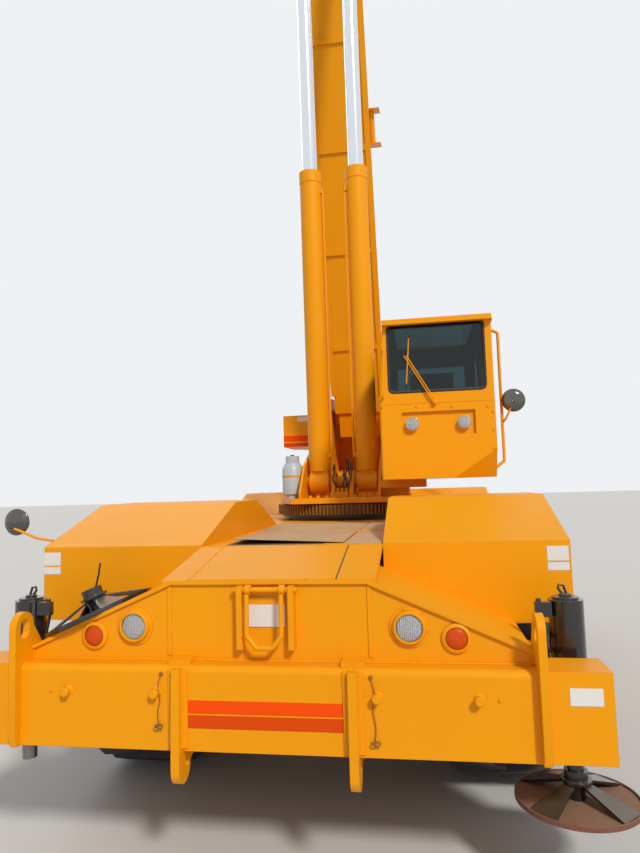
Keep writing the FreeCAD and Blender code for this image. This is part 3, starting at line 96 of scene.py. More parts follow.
class Tree:
    """A node tree with short calls for adding and linking nodes."""

    def __init__(self, tree: bpy.types.NodeTree) -> None:
        """Wraps one node tree."""
        self.tree = tree

    def add(self, kind: str, inputs: dict[Any, Any] | None = None, **settings: Any) -> bpy.types.Node:
        """Adds a node.

        Args:
            kind: The node's type name.
            inputs: Values or sockets for its inputs, by name or number.
            settings: Attributes of the node.

        Returns:
            The new node.
        """
        node = self.tree.nodes.new(kind)
        for key, value in settings.items():
            setattr(node, key, value)
        self.feed(node, inputs or {})
        return node

    def feed(self, node: bpy.types.Node, inputs: dict[Any, Any]) -> None:
        """Gives a node's inputs their values, or links sockets to them."""
        for key, value in inputs.items():
            if isinstance(value, bpy.types.NodeSocket):
                self.tree.links.new(value, node.inputs[key])
            else:
                node.inputs[key].default_value = value

    def math(self, operation: str, first: Any, second: Any = 0.0,
             clamp: bool = False) -> bpy.types.NodeSocket:
        """Adds a Math node and returns its result."""
        return self.add("ShaderNodeMath", {0: first, 1: second}, operation=operation,
                        use_clamp=clamp).outputs[0]

    def mix(self, factor: Any, first: Any, second: Any) -> bpy.types.NodeSocket:
        """Adds a colour Mix node and returns its result."""
        ends = [end if isinstance(end, bpy.types.NodeSocket) else (*end, 1.0) for end in (first, second)]
        return self.add("ShaderNodeMix", {0: factor, 6: ends[0], 7: ends[1]}, data_type="RGBA").outputs[2]

    def noise(self, scale: Any, detail: float, roughness: float = 0.5,
              vector: Any = None) -> bpy.types.NodeSocket:
        """Adds a Noise node over a vector or the object's coordinates, and returns its result."""
        if vector is None:
            vector = self.add("ShaderNodeTexCoord").outputs["Object"]
        return self.add("ShaderNodeTexNoise", {"Vector": vector, "Scale": scale, "Detail": detail,
                                               "Roughness": roughness}).outputs[0]

    def remap(self, value: Any, low: float, high: float, to_low: float = 0.0,
              to_high: float = 1.0) -> bpy.types.NodeSocket:
        """Adds a clamped Map Range node and returns its result."""
        return self.add("ShaderNodeMapRange", {0: value, 1: low, 2: high, 3: to_low, 4: to_high}).outputs[0]


def new_group(kind: Shared, inputs: dict[str, float], outputs: dict[str, str]) -> tuple[Tree, Any, Any]:
    """Starts a shared shader group.

    Args:
        kind: Which group it is.
        inputs: Its float inputs and their defaults.
        outputs: Its outputs and their socket types.

    Returns:
        The tree, its input node and its output node.
    """
    tree = bpy.data.node_groups.new(kind.value, "ShaderNodeTree")
    for name, value in inputs.items():
        socket = tree.interface.new_socket(name=name, in_out="INPUT", socket_type="NodeSocketFloat")
        socket.default_value = value
    for name, socket_type in outputs.items():
        tree.interface.new_socket(name=name, in_out="OUTPUT", socket_type=socket_type)
    return Tree(tree), tree.nodes.new("NodeGroupInput"), tree.nodes.new("NodeGroupOutput")


def build_dust_group() -> None:
    """Dust that settles on what faces up, broken by patches and by streaks down the sides."""
    tree, inp, out = new_group(Shared.DUST, {"Amount": 0.5, "Streaks": 0.2}, {"Mask": "NodeSocketFloat"})
    coord = tree.add("ShaderNodeTexCoord").outputs
    up = tree.add("ShaderNodeSeparateXYZ", {0: coord["Normal"]}).outputs[2]
    patches = tree.remap(tree.noise(2.2, 8.0, 0.62), 0.30, 0.68, 0.35, 1.0)
    top = tree.math("MULTIPLY", tree.remap(up, 0.35, 0.97), patches)
    drawn = tree.add("ShaderNodeMapping", {0: coord["Object"], 3: (9.0, 9.0, 0.9)}).outputs[0]
    drips = tree.math("MULTIPLY", tree.remap(tree.noise(1.6, 5.0, vector=drawn), 0.52, 0.80),
                      inp.outputs["Streaks"])
    tree.feed(out, {0: tree.math("ADD", tree.math("MULTIPLY", top, inp.outputs["Amount"]), drips,
                                 clamp=True)})


def build_edge_group() -> None:
    """Rounded look of plate edges, and where their paint is chipped."""
    tree, inp, out = new_group(Shared.EDGE, {"Radius": 0.006, "Chips": 0.3},
                               {"Mask": "NodeSocketFloat", "Normal": "NodeSocketVector"})
    bevel = tree.add("ShaderNodeBevel", {"Radius": inp.outputs["Radius"]}, samples=4).outputs[0]
    flat = tree.add("ShaderNodeNewGeometry").outputs["Normal"]
    dot = tree.add("ShaderNodeVectorMath", {0: bevel, 1: flat}, operation="DOT_PRODUCT").outputs[1]
    chips = tree.math("MULTIPLY", tree.remap(dot, 0.995, 0.90),
                      tree.remap(tree.noise(26.0, 6.0, 0.7), 0.56, 0.62))
    tree.feed(out, {"Mask": tree.math("MULTIPLY", chips, inp.outputs["Chips"], clamp=True), "Normal": bevel})


def build_mottle_group() -> None:
    """Slow change of shade over a surface, from minus one to one."""
    tree, inp, out = new_group(Shared.MOTTLE, {"Scale": 0.8}, {"Shade": "NodeSocketFloat"})
    tree.feed(out, {0: tree.remap(tree.noise(inp.outputs["Scale"], 4.0, 0.55), 0.30, 0.70, -1.0, 1.0)})


def build_grain_group() -> None:
    """Fine relief: orange peel on paint, pores in rubber, brush marks on steel."""
    tree, inp, out = new_group(Shared.GRAIN, {"Scale": 60.0, "Stretch": 1.0}, {"Height": "NodeSocketFloat"})
    size = tree.add("ShaderNodeCombineXYZ", {0: 1.0, 1: 1.0, 2: inp.outputs["Stretch"]}).outputs[0]
    drawn = tree.add("ShaderNodeVectorMath", {0: tree.add("ShaderNodeTexCoord").outputs["Object"], 1: size},
                     operation="MULTIPLY").outputs[0]
    tree.feed(out, {0: tree.noise(inp.outputs["Scale"], 3.0, vector=drawn)})


@dataclass(frozen=True)
class Surface:
    """What a piece is finished with: a material that is made once and shared.

    Attributes:
        name: The material's name.
        colour: Base colour.
    """

    name: str
    colour: Colour

    def material(self) -> bpy.types.Material:
        """Returns the material, made on its first use."""
        known = bpy.data.materials.get(self.name)
        if known:
            return known
        material = bpy.data.materials.new(self.name)
        material.use_nodes = True
        self.wire(Tree(material.node_tree), material.node_tree.nodes["Principled BSDF"])
        return material

    def wire(self, tree: Tree, shader: bpy.types.Node) -> None:
        """Gives the shader its values, here only the colour."""
        tree.feed(shader, {"Base Color": (*self.colour, 1.0)})


@dataclass(frozen=True)
class Finish(Surface):
    """An opaque surface with its wear.

    Attributes:
        second: Colour that the mottle leans to.
        lean: How far the mottle goes to the second colour.
        roughness: Roughness where clean.
        metallic: Metal share of the surface.
        coat: Weight of a clear coat.
        dust: Amount of dust on upper faces.
        streaks: Amount of dust in streaks down the sides.
        dust_colour: Colour of the dust.
        chips: How much of the edges is chipped.
        chip_colour: Colour under the chips.
        mottle: Scale of the mottle.
        grain: Scale of the fine relief.
        stretch: Stretch of the relief along Z.
        relief: Strength of the fine relief.
        edge: Radius of the rounded look of its edges.
        specular: Strength of its plain reflection.
    """

    second: Colour
    lean: float = 0.5
    roughness: float = 0.4
    metallic: float = 0.0
    coat: float = 0.0
    dust: float = 0.4
    streaks: float = 0.1
    dust_colour: Colour = (0.42, 0.30, 0.17)
    chips: float = 0.3
    chip_colour: Colour = (0.16, 0.06, 0.03)
    mottle: float = 0.8
    grain: float = 90.0
    stretch: float = 1.0
    relief: float = 0.05
    edge: float = 0.005
    specular: float = 0.5

    def wire(self, tree: Tree, shader: bpy.types.Node) -> None:
        """Builds colour, roughness and relief from the shared groups."""
        shade = self._group(tree, Shared.MOTTLE, Scale=self.mottle).outputs[0]
        dust = self._group(tree, Shared.DUST, Amount=self.dust, Streaks=self.streaks).outputs[0]
        edge = self._group(tree, Shared.EDGE, Radius=self.edge, Chips=self.chips).outputs
        grain = self._group(tree, Shared.GRAIN, Scale=self.grain, Stretch=self.stretch).outputs[0]
        colour = tree.mix(tree.remap(shade, -1.0, 1.0, 0.0, self.lean), self.colour, self.second)
        colour = tree.mix(dust, colour, self.dust_colour)
        colour = tree.mix(edge["Mask"], colour, self.chip_colour)
        rough = tree.math("ADD", tree.remap(dust, 0.0, 1.0, self.roughness, 0.9),
                          tree.remap(shade, -1.0, 1.0, -0.04, 0.06))
        bump = tree.add("ShaderNodeBump", {"Strength": self.relief, "Distance": 0.002, "Height": grain,
                                           "Normal": edge["Normal"]}).outputs[0]
        tree.feed(shader, {"Base Color": colour, "Roughness": rough, "Normal": bump,
                           "Metallic": self.metallic, "Coat Weight": self.coat, "Coat Roughness": 0.12,
                           "Specular IOR Level": self.specular})

    @staticmethod
    def _group(tree: Tree, kind: Shared, **values: float) -> bpy.types.Node:
        """Places a shared group with its values."""
        return tree.add("ShaderNodeGroup", values, node_tree=bpy.data.node_groups[kind.value])


@dataclass(frozen=True)
class ClearFinish(Surface):
    """Glass or clear plastic, tinted, with fine ribs where it is a lamp's lens.

    Attributes:
        roughness: Roughness of its surface.
        transmission: Share of the light that goes through.
        ribs: Ribs per metre across it, or 0 for none.
        smear: How much rougher it is where it is smeared.
    """

    roughness: float = 0.04
    transmission: float = 1.0
    ribs: float = 0.0
    smear: float = 0.10

    def wire(self, tree: Tree, shader: bpy.types.Node) -> None:
        """Sets the tint, the smears and the ribs."""
        super().wire(tree, shader)
        rough = tree.remap(tree.noise(5.0, 5.0), 0.4, 0.75, self.roughness, self.roughness + self.smear)
        tree.feed(shader, {"Transmission Weight": self.transmission, "IOR": 1.45, "Roughness": rough})
        if self.ribs:
            coord = tree.add("ShaderNodeTexCoord").outputs["Object"]
            wave = tree.add("ShaderNodeTexWave", {"Vector": coord, "Scale": self.ribs, "Distortion": 0.6},
                            bands_direction="Y").outputs["Fac"]
            bump = tree.add("ShaderNodeBump", {"Strength": 1.0, "Distance": 0.004, "Height": wave}).outputs[0]
            tree.feed(shader, {"Normal": bump})


YELLOW = Finish("yellow_enamel", (0.87, 0.345, 0.001), (0.76, 0.275, 0.002), lean=0.45, coat=0.06, dust=0.16,
    streaks=0.04, dust_colour=(0.60, 0.32, 0.04), chips=0.75, chip_colour=(0.20, 0.08, 0.03), mottle=0.55,
    grain=140.0, relief=0.06, specular=0.15)
BOOM_YELLOW = Finish("boom_enamel", (0.86, 0.34, 0.001), (0.74, 0.265, 0.002), coat=0.06, dust=0.08,
    streaks=0.06, dust_colour=(0.60, 0.32, 0.04), chips=0.5, mottle=0.35, grain=140.0, relief=0.06,
    specular=0.15)
BLACK = Finish("chassis_enamel", (0.018, 0.018, 0.019), (0.045, 0.040, 0.034), lean=0.7, roughness=0.42,
    dust=0.55, streaks=0.18, dust_colour=(0.20, 0.16, 0.11), chips=0.6, chip_colour=(0.13, 0.07, 0.04),
    mottle=2.0)
JACK_BLACK = Finish("jack_enamel", (0.010, 0.010, 0.011), (0.022, 0.020, 0.018), roughness=0.18, coat=0.6,
    dust=0.25, streaks=0.05, chips=0.4, chip_colour=(0.12, 0.10, 0.08), mottle=3.0)
RUBBER = Finish("tyre_rubber", (0.030, 0.028, 0.026), (0.075, 0.062, 0.048), lean=0.8, roughness=0.78,
    dust=0.65, streaks=0.25, dust_colour=(0.26, 0.20, 0.13), chips=0.5, chip_colour=(0.12, 0.10, 0.08),
    mottle=3.5, grain=220.0, relief=0.25, edge=0.008)
CHROME = Finish("rod_chrome", (0.84, 0.87, 0.92), (0.74, 0.77, 0.82), lean=0.3, roughness=0.16, metallic=1.0,
    dust=0.03, streaks=0.02, chips=0.0, mottle=1.5, grain=400.0, stretch=0.02, relief=0.02, edge=0.002)
GEAR = Finish("gear_grease", (0.20, 0.090, 0.014), (0.34, 0.16, 0.03), lean=0.8, roughness=0.50, metallic=0.2,
    dust=0.3, chips=0.4, chip_colour=(0.25, 0.20, 0.14), mottle=6.0, grain=60.0, relief=0.3)
STEEL = Finish("worn_steel", (0.30, 0.29, 0.28), (0.16, 0.13, 0.11), lean=0.7, roughness=0.38, metallic=1.0,
    dust=0.25, chips=0.2, mottle=5.0, relief=0.12)
ZINC = Finish("bolt_zinc", (0.45, 0.42, 0.36), (0.30, 0.20, 0.12), lean=0.6, metallic=0.9, dust=0.2,
    mottle=9.0)
PLASTIC = Finish("dark_plastic", (0.030, 0.030, 0.032), (0.055, 0.052, 0.050), roughness=0.55, dust=0.5,
    streaks=0.0, chips=0.2, chip_colour=(0.10, 0.10, 0.10), mottle=4.0, grain=300.0, relief=0.2)
GASKET = Finish("window_rubber", (0.014, 0.014, 0.015), (0.030, 0.029, 0.028), roughness=0.6, dust=0.25,
    chips=0.0)
HOSE = Finish("hose_rubber", (0.022, 0.022, 0.023), (0.050, 0.045, 0.040), lean=0.6, roughness=0.6, dust=0.5,
    chips=0.0, mottle=4.0, grain=300.0, relief=0.2)
DECK_TAN = Finish("deck_grip", (0.40, 0.235, 0.105), (0.56, 0.36, 0.19), lean=0.9, roughness=0.82, dust=0.35,
    dust_colour=(0.50, 0.36, 0.22), chips=0.5, chip_colour=(0.20, 0.12, 0.06), mottle=1.4, grain=260.0,
    relief=0.5)
PRIMER = Finish("float_primer", (0.16, 0.050, 0.030), (0.24, 0.10, 0.07), lean=0.8, roughness=0.7, dust=0.45,
    chips=0.5, mottle=3.0)
STRIPE_HIGH = Finish("stripe_red_orange", (0.92, 0.075, 0.001), (0.85, 0.068, 0.001), roughness=0.42,
    dust=0.04, streaks=0.02, chip_colour=(0.84, 0.30, 0.01), specular=0.12)
STRIPE_LOW = Finish("stripe_orange", (0.72, 0.066, 0.001), (0.66, 0.060, 0.001), roughness=0.42, dust=0.04,
    streaks=0.02, chip_colour=(0.84, 0.30, 0.01), specular=0.12)
BLANK_WHITE = Finish("blank_plate", (0.76, 0.75, 0.72), (0.68, 0.66, 0.60), roughness=0.45, dust=0.2,
    streaks=0.05, chips=0.5, chip_colour=(0.35, 0.34, 0.32), mottle=6.0)
BOTTLE_WHITE = Finish("bottle_enamel", (0.46, 0.54, 0.60), (0.38, 0.43, 0.46), roughness=0.35, coat=0.2,
    dust=0.3, streaks=0.2, chips=0.5, chip_colour=(0.25, 0.14, 0.08), mottle=3.0)
SEAT = Finish("seat_cloth", (0.050, 0.050, 0.056), (0.080, 0.076, 0.072), lean=0.6, roughness=0.92, dust=0.3,
    chips=0.0, mottle=5.0, grain=700.0, relief=0.6)
LINING = Finish("cab_lining", (0.040, 0.050, 0.050), (0.065, 0.075, 0.072), roughness=0.8, dust=0.2,
    chips=0.0)
# Mirror faces: their reflectance is darkened to stand in for the dark surroundings they reflect, a painted
# dark reflection.
MIRROR_PAINTED_DARK = Finish("mirror_painted_dark", (0.16, 0.15, 0.14), (0.12, 0.11, 0.10), roughness=0.10, metallic=1.0,
    dust=0.15, chips=0.0, relief=0.0)
WINDOW = ClearFinish("glazing_tint", (0.12, 0.22, 0.24), roughness=0.0, smear=0.015)
LENS = ClearFinish("fluted_lens", (0.90, 0.92, 0.95), roughness=0.02, transmission=0.62, ribs=30.0,
    smear=0.03)
REFLECTOR = Finish("lamp_reflector", (0.62, 0.66, 0.72), (0.42, 0.45, 0.50), lean=0.8, roughness=0.16,
    metallic=1.0, dust=0.0, chips=0.0, relief=0.0)
LANYARD = Finish("lanyard_wire", (0.40, 0.17, 0.03), (0.16, 0.07, 0.03), lean=0.9, roughness=0.6, dust=0.2,
    chips=0.0, mottle=14.0)
AMBER = Finish("amber_lens", (0.64, 0.066, 0.001), (0.50, 0.052, 0.001), lean=0.6, roughness=0.30, coat=0.15,
    dust=0.05, streaks=0.0, chips=0.0, mottle=20.0, specular=0.2)

NODE_FINISH = {name: finish for finish, names in (
    (BLACK, "carrier_frame axles engine_block tie_rod_front tie_rod_rear"), (GEAR, "swing_gear"),
    (JACK_BLACK, "stowed_float"), (REFLECTOR, "headlights work_lamps"), (AMBER, "signal_lamps"),
    (WINDOW, "cab_glass door_glass"), (SEAT, "cab_seat"), (PLASTIC, "cab_controls"), (CHROME, "lift_rods"),
    (STEEL, "hoist jack_front_right"), (BOTTLE_WHITE, "gas_bottle"),
    (BOOM_YELLOW, "boom_base boom_inner_mid boom_outer_mid boom_fly"),
) for name in names.split()}
for _corner in CORNERS:
    NODE_FINISH["knuckle_" + _corner] = BLACK
    NODE_FINISH["tyre_" + _corner] = RUBBER
    NODE_FINISH.setdefault("jack_" + _corner, JACK_BLACK)
ROUND_NODES = ("swing_gear", "stowed_float", "axles", "boom_fly", "lift_barrels", "lift_rods", "hoist",
               "hook_block", "tow_bail", "cab_rails", "fender_mirror", "bail_bracket", "lamp_rims",
               "outrigger_boxes", "side_tanks", "cab_controls", "cab_door", "turret", "signal_lamps",
               "boom_base", "gas_bottle", "cab_shell")


@dataclass(frozen=True)
class Zone:
    """Part of a node with a finish of its own: the faces that lie whole inside a box.

    Attributes:
        node: The node.
        finish: Finish of those faces.
        low: Low corner of the box, in the machine's own axes.
        high: High corner of the box.
        inward: Whether only faces that look to the box's middle count.
    """

    node: str
    finish: Finish
    low: Point
    high: Point
    inward: bool = False

    def holds(self, face: bmesh.types.BMFace) -> bool:
        """Tells whether a face of the node's mesh belongs to the zone."""
        low, high = row(*self.low), row(*self.high)
        inside = all(low[k] <= v.co[k] <= high[k] for v in face.verts for k in range(3))
        if inside and self.inward:
            return face.normal.dot((low + high) / 2 - face.calc_center_median()) > 0
        return inside


def jack_zones() -> list[Zone]:
    """The black jack tubes on the yellow outrigger beams, and the primed undersides of the floats."""
    zones = []
    for corner, (end, side) in CORNERS.items():
        x, y = end * JACK_X, side * JACK_Y
        zones.append(Zone("outrigger_beam_" + corner, JACK_BLACK, (x - 0.112, y - 0.112, 0.69),
                          (x + 0.112, y + 0.112, 1.50)))
        zones.append(Zone("jack_" + corner, PRIMER, (x - 0.33, y - 0.33, 0.428),
                          (x + 0.33, y + 0.33, 0.4545)))
    return zones


ZONES = jack_zones() + [
    Zone("cab_shell", LINING, (-0.145, 0.505, 2.155), (1.645, 1.473, 3.530), inward=True),
    # The two mirror zones take the darkened mirror finish, which is a painted dark reflection.
    Zone("fender_mirror", MIRROR_PAINTED_DARK, (3.149, -2.025, 1.840), (3.200, -1.830, 2.030)),
    Zone("cab_rails", MIRROR_PAINTED_DARK, (1.541, 1.540, 2.695), (1.590, 1.750, 2.905)),
    Zone("boom_fly", STEEL, (1.549, -0.160, 13.240), (1.949, 0.160, 13.640)),
    Zone("boom_fly", STEEL, (0.667, -0.030, 13.304), (1.067, 0.030, 13.704)),
    Zone("hook_block", STEEL, (1.549, -0.160, 11.940), (1.949, 0.160, 13.340)),
    Zone("hook_block", BLACK, (1.549, -0.060, 11.300), (1.949, 0.060, 11.885)),
]


def row(x: float, y: float, z: float) -> Vector:
    """A point of the machine's own axes, whose Y is zero on the swing axis, in the row frame."""
    return Vector((x, y + ROW_SHIFT, z))


class Draft:
    """A mesh in the making: shapes are added, then it becomes one object."""

    def __init__(self) -> None:
        """Starts empty."""
        self.mesh = bmesh.new()

    def box(self, low: Point, high: Point) -> None:
        """Adds a block between two corners."""
        centre = (Vector(low) + Vector(high)) / 2
        size = Vector(high) - Vector(low)
        place = Matrix.Translation(centre) @ Matrix.Diagonal((*size, 1.0))
        bmesh.ops.create_cube(self.mesh, size=1.0, matrix=place)

    def turned(self, profile: Sequence[Sequence[float]], centre: Point, axis: Point, steps: int = 48) -> None:
        """Adds a turned shape.

        Args:
            profile: (along, radius) points from one end of the axis to the other.
            centre: Origin of the profile.
            axis: Direction that the profile runs along.
            steps: Facets round it.
        """
        turn = Vector((0, 0, 1)).rotation_difference(Vector(axis)).to_matrix().to_4x4()
        place = Matrix.Translation(Vector(centre)) @ turn
        rings: list[list[bmesh.types.BMVert]] = []
        for along, radius in profile:
            if radius < 1e-6:
                rings.append([self.mesh.verts.new(place @ Vector((0, 0, along)))])
                continue
            rings.append([self.mesh.verts.new(place @ Vector((radius * math.cos(i * math.tau / steps),
                                                              radius * math.sin(i * math.tau / steps),
                                                              along)))
                          for i in range(steps)])
        for first, second in zip(rings, rings[1:]):
            for i in range(steps):
                j = (i + 1) % steps
                a, b = first[i % len(first)], first[j % len(first)]
                c, d = second[j % len(second)], second[i % len(second)]
                corners = [v for k, v in enumerate((a, b, c, d)) if v not in (a, b, c, d)[:k]]
                if len(corners) > 2:
                    self.mesh.faces.new(corners)

    def tube(self, points: Sequence[Point], radius: float, sides: int = 12, closed: bool = False) -> None:
        """Adds a round tube through points, with flat ends or joined into a ring."""
        path = [Vector(p) for p in points]
        count = len(path)
        up = Vector((0.13, 0.29, 0.95)).normalized()
        rings = []
        for i, point in enumerate(path):
            ahead = path[(i + 1) % count] if closed or i + 1 < count else point
            behind = path[i - 1] if closed or i else point
            along = (ahead - behind).normalized()
            side = along.cross(up).normalized()
            up = side.cross(along).normalized()
            rings.append([self.mesh.verts.new(point + radius * (math.cos(k * math.tau / sides) * side
                                                                + math.sin(k * math.tau / sides) * up))
                          for k in range(sides)])
        self.skin(rings, closed)

    def skin(self, rings: Sequence[Sequence[bmesh.types.BMVert]], closed: bool = False) -> None:
        """Joins rings of vertices by faces, with flat ends or the last ring joined to the first."""
        pairs = list(zip(rings, rings[1:])) + ([(rings[-1], rings[0])] if closed else [])
        for first, second in pairs:
            for k in range(len(first)):
                after = (k + 1) % len(first)
                self.mesh.faces.new((first[k], first[after], second[after], second[k]))
        if not closed:
            self.mesh.faces.new(list(reversed(rings[0])))
            self.mesh.faces.new(rings[-1])

    def plate(self, outline: Sequence[Point], through: Point) -> None:
        """Adds a flat plate: an outline of points pushed along a vector."""
        self.skin([[self.mesh.verts.new(Vector(p) + shift) for p in outline]
                   for shift in (Vector((0, 0, 0)), Vector(through))])

    def to_mesh(self, name: str) -> bpy.types.Mesh:
        """Ends the draft as a mesh with its faces pointing out."""
        bmesh.ops.remove_doubles(self.mesh, verts=self.mesh.verts, dist=1e-6)
        bmesh.ops.recalc_face_normals(self.mesh, faces=self.mesh.faces)
        mesh = bpy.data.meshes.new(name)
        self.mesh.to_mesh(mesh)
        self.mesh.free()
        return mesh

    def piece(self, name: str, finish: Surface, body: str, bevel: float = 0.0) -> bpy.types.Object:
        """Ends the draft as a piece of the crane, with the values that place() takes."""
        return place(name, self.to_mesh(name), finish, body, bevel)


def place(name: str, mesh: bpy.types.Mesh, finish: Surface, body: str,
          bevel: float = 0.0) -> bpy.types.Object:
    """Makes a mesh a piece of the crane.

    Args:
        name: The piece's name.
        mesh: Its mesh, in the row frame.
        finish: Its finish.
        body: The body that it rides on.
        bevel: Width of its edge bevels, or 0 for none.

    Returns:
        The piece.
    """
    mesh.shade_smooth()
    mesh.set_sharp_from_angle(angle=math.radians(CORNER_ANGLE))
    if not mesh.materials:
        mesh.materials.append(finish.material())
    piece = bpy.data.objects.new(name, mesh)
    bpy.context.scene.collection.objects.link(piece)
    if bevel:
        rounding = piece.modifiers.new("rounding", "BEVEL")
        rounding.width = bevel
        rounding.segments = 2
        rounding.limit_method = "ANGLE"
        rounding.harden_normals = True
    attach(piece, body)
    log.info("%s rides on %s with %d faces", name, body, len(mesh.polygons))
    return piece


def blocks(name: str, finish: Surface, body: str, spans: Iterable[tuple[Point, Point]],
           bevel: float = 0.0) -> None:
    """Makes a piece of blocks, each between two corners given in the machine's own axes."""
    draft = Draft()
    for low, high in spans:
        draft.box(row(*low), row(*high))
    draft.piece(name, finish, body, bevel)


def tubes(name: str, finish: Surface, body: str, runs: Iterable[tuple[Sequence[Point], float]],
          sides: int = 6) -> None:
    """Makes a piece of round tubes, each by its points in the machine's own axes and its radius."""
    draft = Draft()
    for points, radius in runs:
        draft.tube([row(*p) for p in points], radius, sides)
    draft.piece(name, finish, body)


class Pattern(Enum):
    """Geometry node trees that repeat one shape."""

    RING = "ring_of_copies"
    LINE = "line_of_copies"

    def tree(self) -> bpy.types.NodeTree:
        """Returns this pattern's node tree, built on its first use."""
        known = bpy.data.node_groups.get(self.value)
        if known:
            return known
        group = bpy.data.node_groups.new(self.value, "GeometryNodeTree")
        for name, kind in (("Shape", "Geometry"), ("Count", "Int"), ("Start", "Float"), ("Turn", "Vector"),
                           ("Place", "Vector"), ("Step", "Vector"), ("Finish", "Material")):
            group.interface.new_socket(name=name, in_out="INPUT", socket_type="NodeSocket" + kind)
        group.interface.new_socket(name="Shape", in_out="OUTPUT", socket_type="NodeSocketGeometry")
        tree = Tree(group)
        given, out = group.nodes.new("NodeGroupInput").outputs, group.nodes.new("NodeGroupOutput")
        if self is Pattern.RING:
            points = tree.add("GeometryNodeMeshCircle", {"Vertices": given["Count"], "Radius": 0.0})
            angle = tree.math("MULTIPLY", tree.add("GeometryNodeInputIndex").outputs[0],
                              tree.math("DIVIDE", math.tau, given["Count"]))
            turns = [tree.add("ShaderNodeCombineXYZ", {2: a}).outputs[0] for a in (angle, given["Start"])]
            copies = tree.add("GeometryNodeInstanceOnPoints", {
                "Points": points.outputs[0], "Instance": given["Shape"], "Rotation": turns[0]})
            placed = tree.add("GeometryNodeTransform", {"Geometry": copies.outputs[0], "Rotation": turns[1]})
            placed = tree.add("GeometryNodeTransform", {
                "Geometry": placed.outputs[0], "Rotation": given["Turn"], "Translation": given["Place"]})
        else:
            points = tree.add("GeometryNodeMeshLine", {
                "Count": given["Count"], "Start Location": given["Place"], "Offset": given["Step"]})
            placed = tree.add("GeometryNodeInstanceOnPoints", {
                "Points": points.outputs[0], "Instance": given["Shape"], "Rotation": given["Turn"]})
        real = tree.add("GeometryNodeRealizeInstances", {0: placed.outputs[0]})
        dressed = tree.add("GeometryNodeSetMaterial",
                           {"Geometry": real.outputs[0], "Material": given["Finish"]})
        tree.feed(out, {0: dressed.outputs[0]})
        return group

    def copies(self, shape: bpy.types.Mesh, finish: Surface, **values: Any) -> bpy.types.Mesh:
        """Repeats a shape.

        Args:
            shape: The mesh to repeat: in a ring its X points away from the centre and the ring's axis is Z.
            finish: Finish of the copies.
            values: Values of the tree's inputs, by name.

        Returns:
            One plain mesh of all the copies.
        """
        group = self.tree()
        holder = bpy.data.objects.new("pattern", shape)
        bpy.context.scene.collection.objects.link(holder)
        modifier = holder.modifiers.new("pattern", "NODES")
        modifier.node_group = group
        names = {item.name: item.identifier for item in group.interface.items_tree if item.in_out == "INPUT"}
        for name, value in {**values, "Finish": finish.material()}.items():
            modifier[names[name]] = value
        bpy.context.view_layer.update()
        evaluated = holder.evaluated_get(bpy.context.evaluated_depsgraph_get())
        mesh = bpy.data.meshes.new_from_object(evaluated)
        holder.modifiers.remove(modifier)
        bpy.data.objects.remove(holder)
        return mesh


def merged(meshes: Iterable[bpy.types.Mesh]) -> bpy.types.Mesh:
    """Joins meshes that share one finish into one mesh."""
    parts = list(meshes)
    whole = bmesh.new()
    for part in parts:
        whole.from_mesh(part)
    for face in whole.faces:
        face.material_index = 0
    result = bpy.data.meshes.new(parts[0].name)
    whole.to_mesh(result)
    whole.free()
    return result


def hex_bolt(size: float, height: float) -> bpy.types.Mesh:
    """A bolt head with its washer, its axis along Z, chamfered on top."""
    draft = Draft()
    draft.turned(((0, size * 0.72), (height * 0.22, size * 0.72), (height * 0.22, 0)), (0, 0, 0), ALONG_Z, 16)
    head = ((height * 0.2, size * 0.56), (height * 0.85, size * 0.56), (height, size * 0.46), (height, 0))
    draft.turned(head, (0, 0, 0), ALONG_Z, 6)
    return draft.to_mesh("bolt")


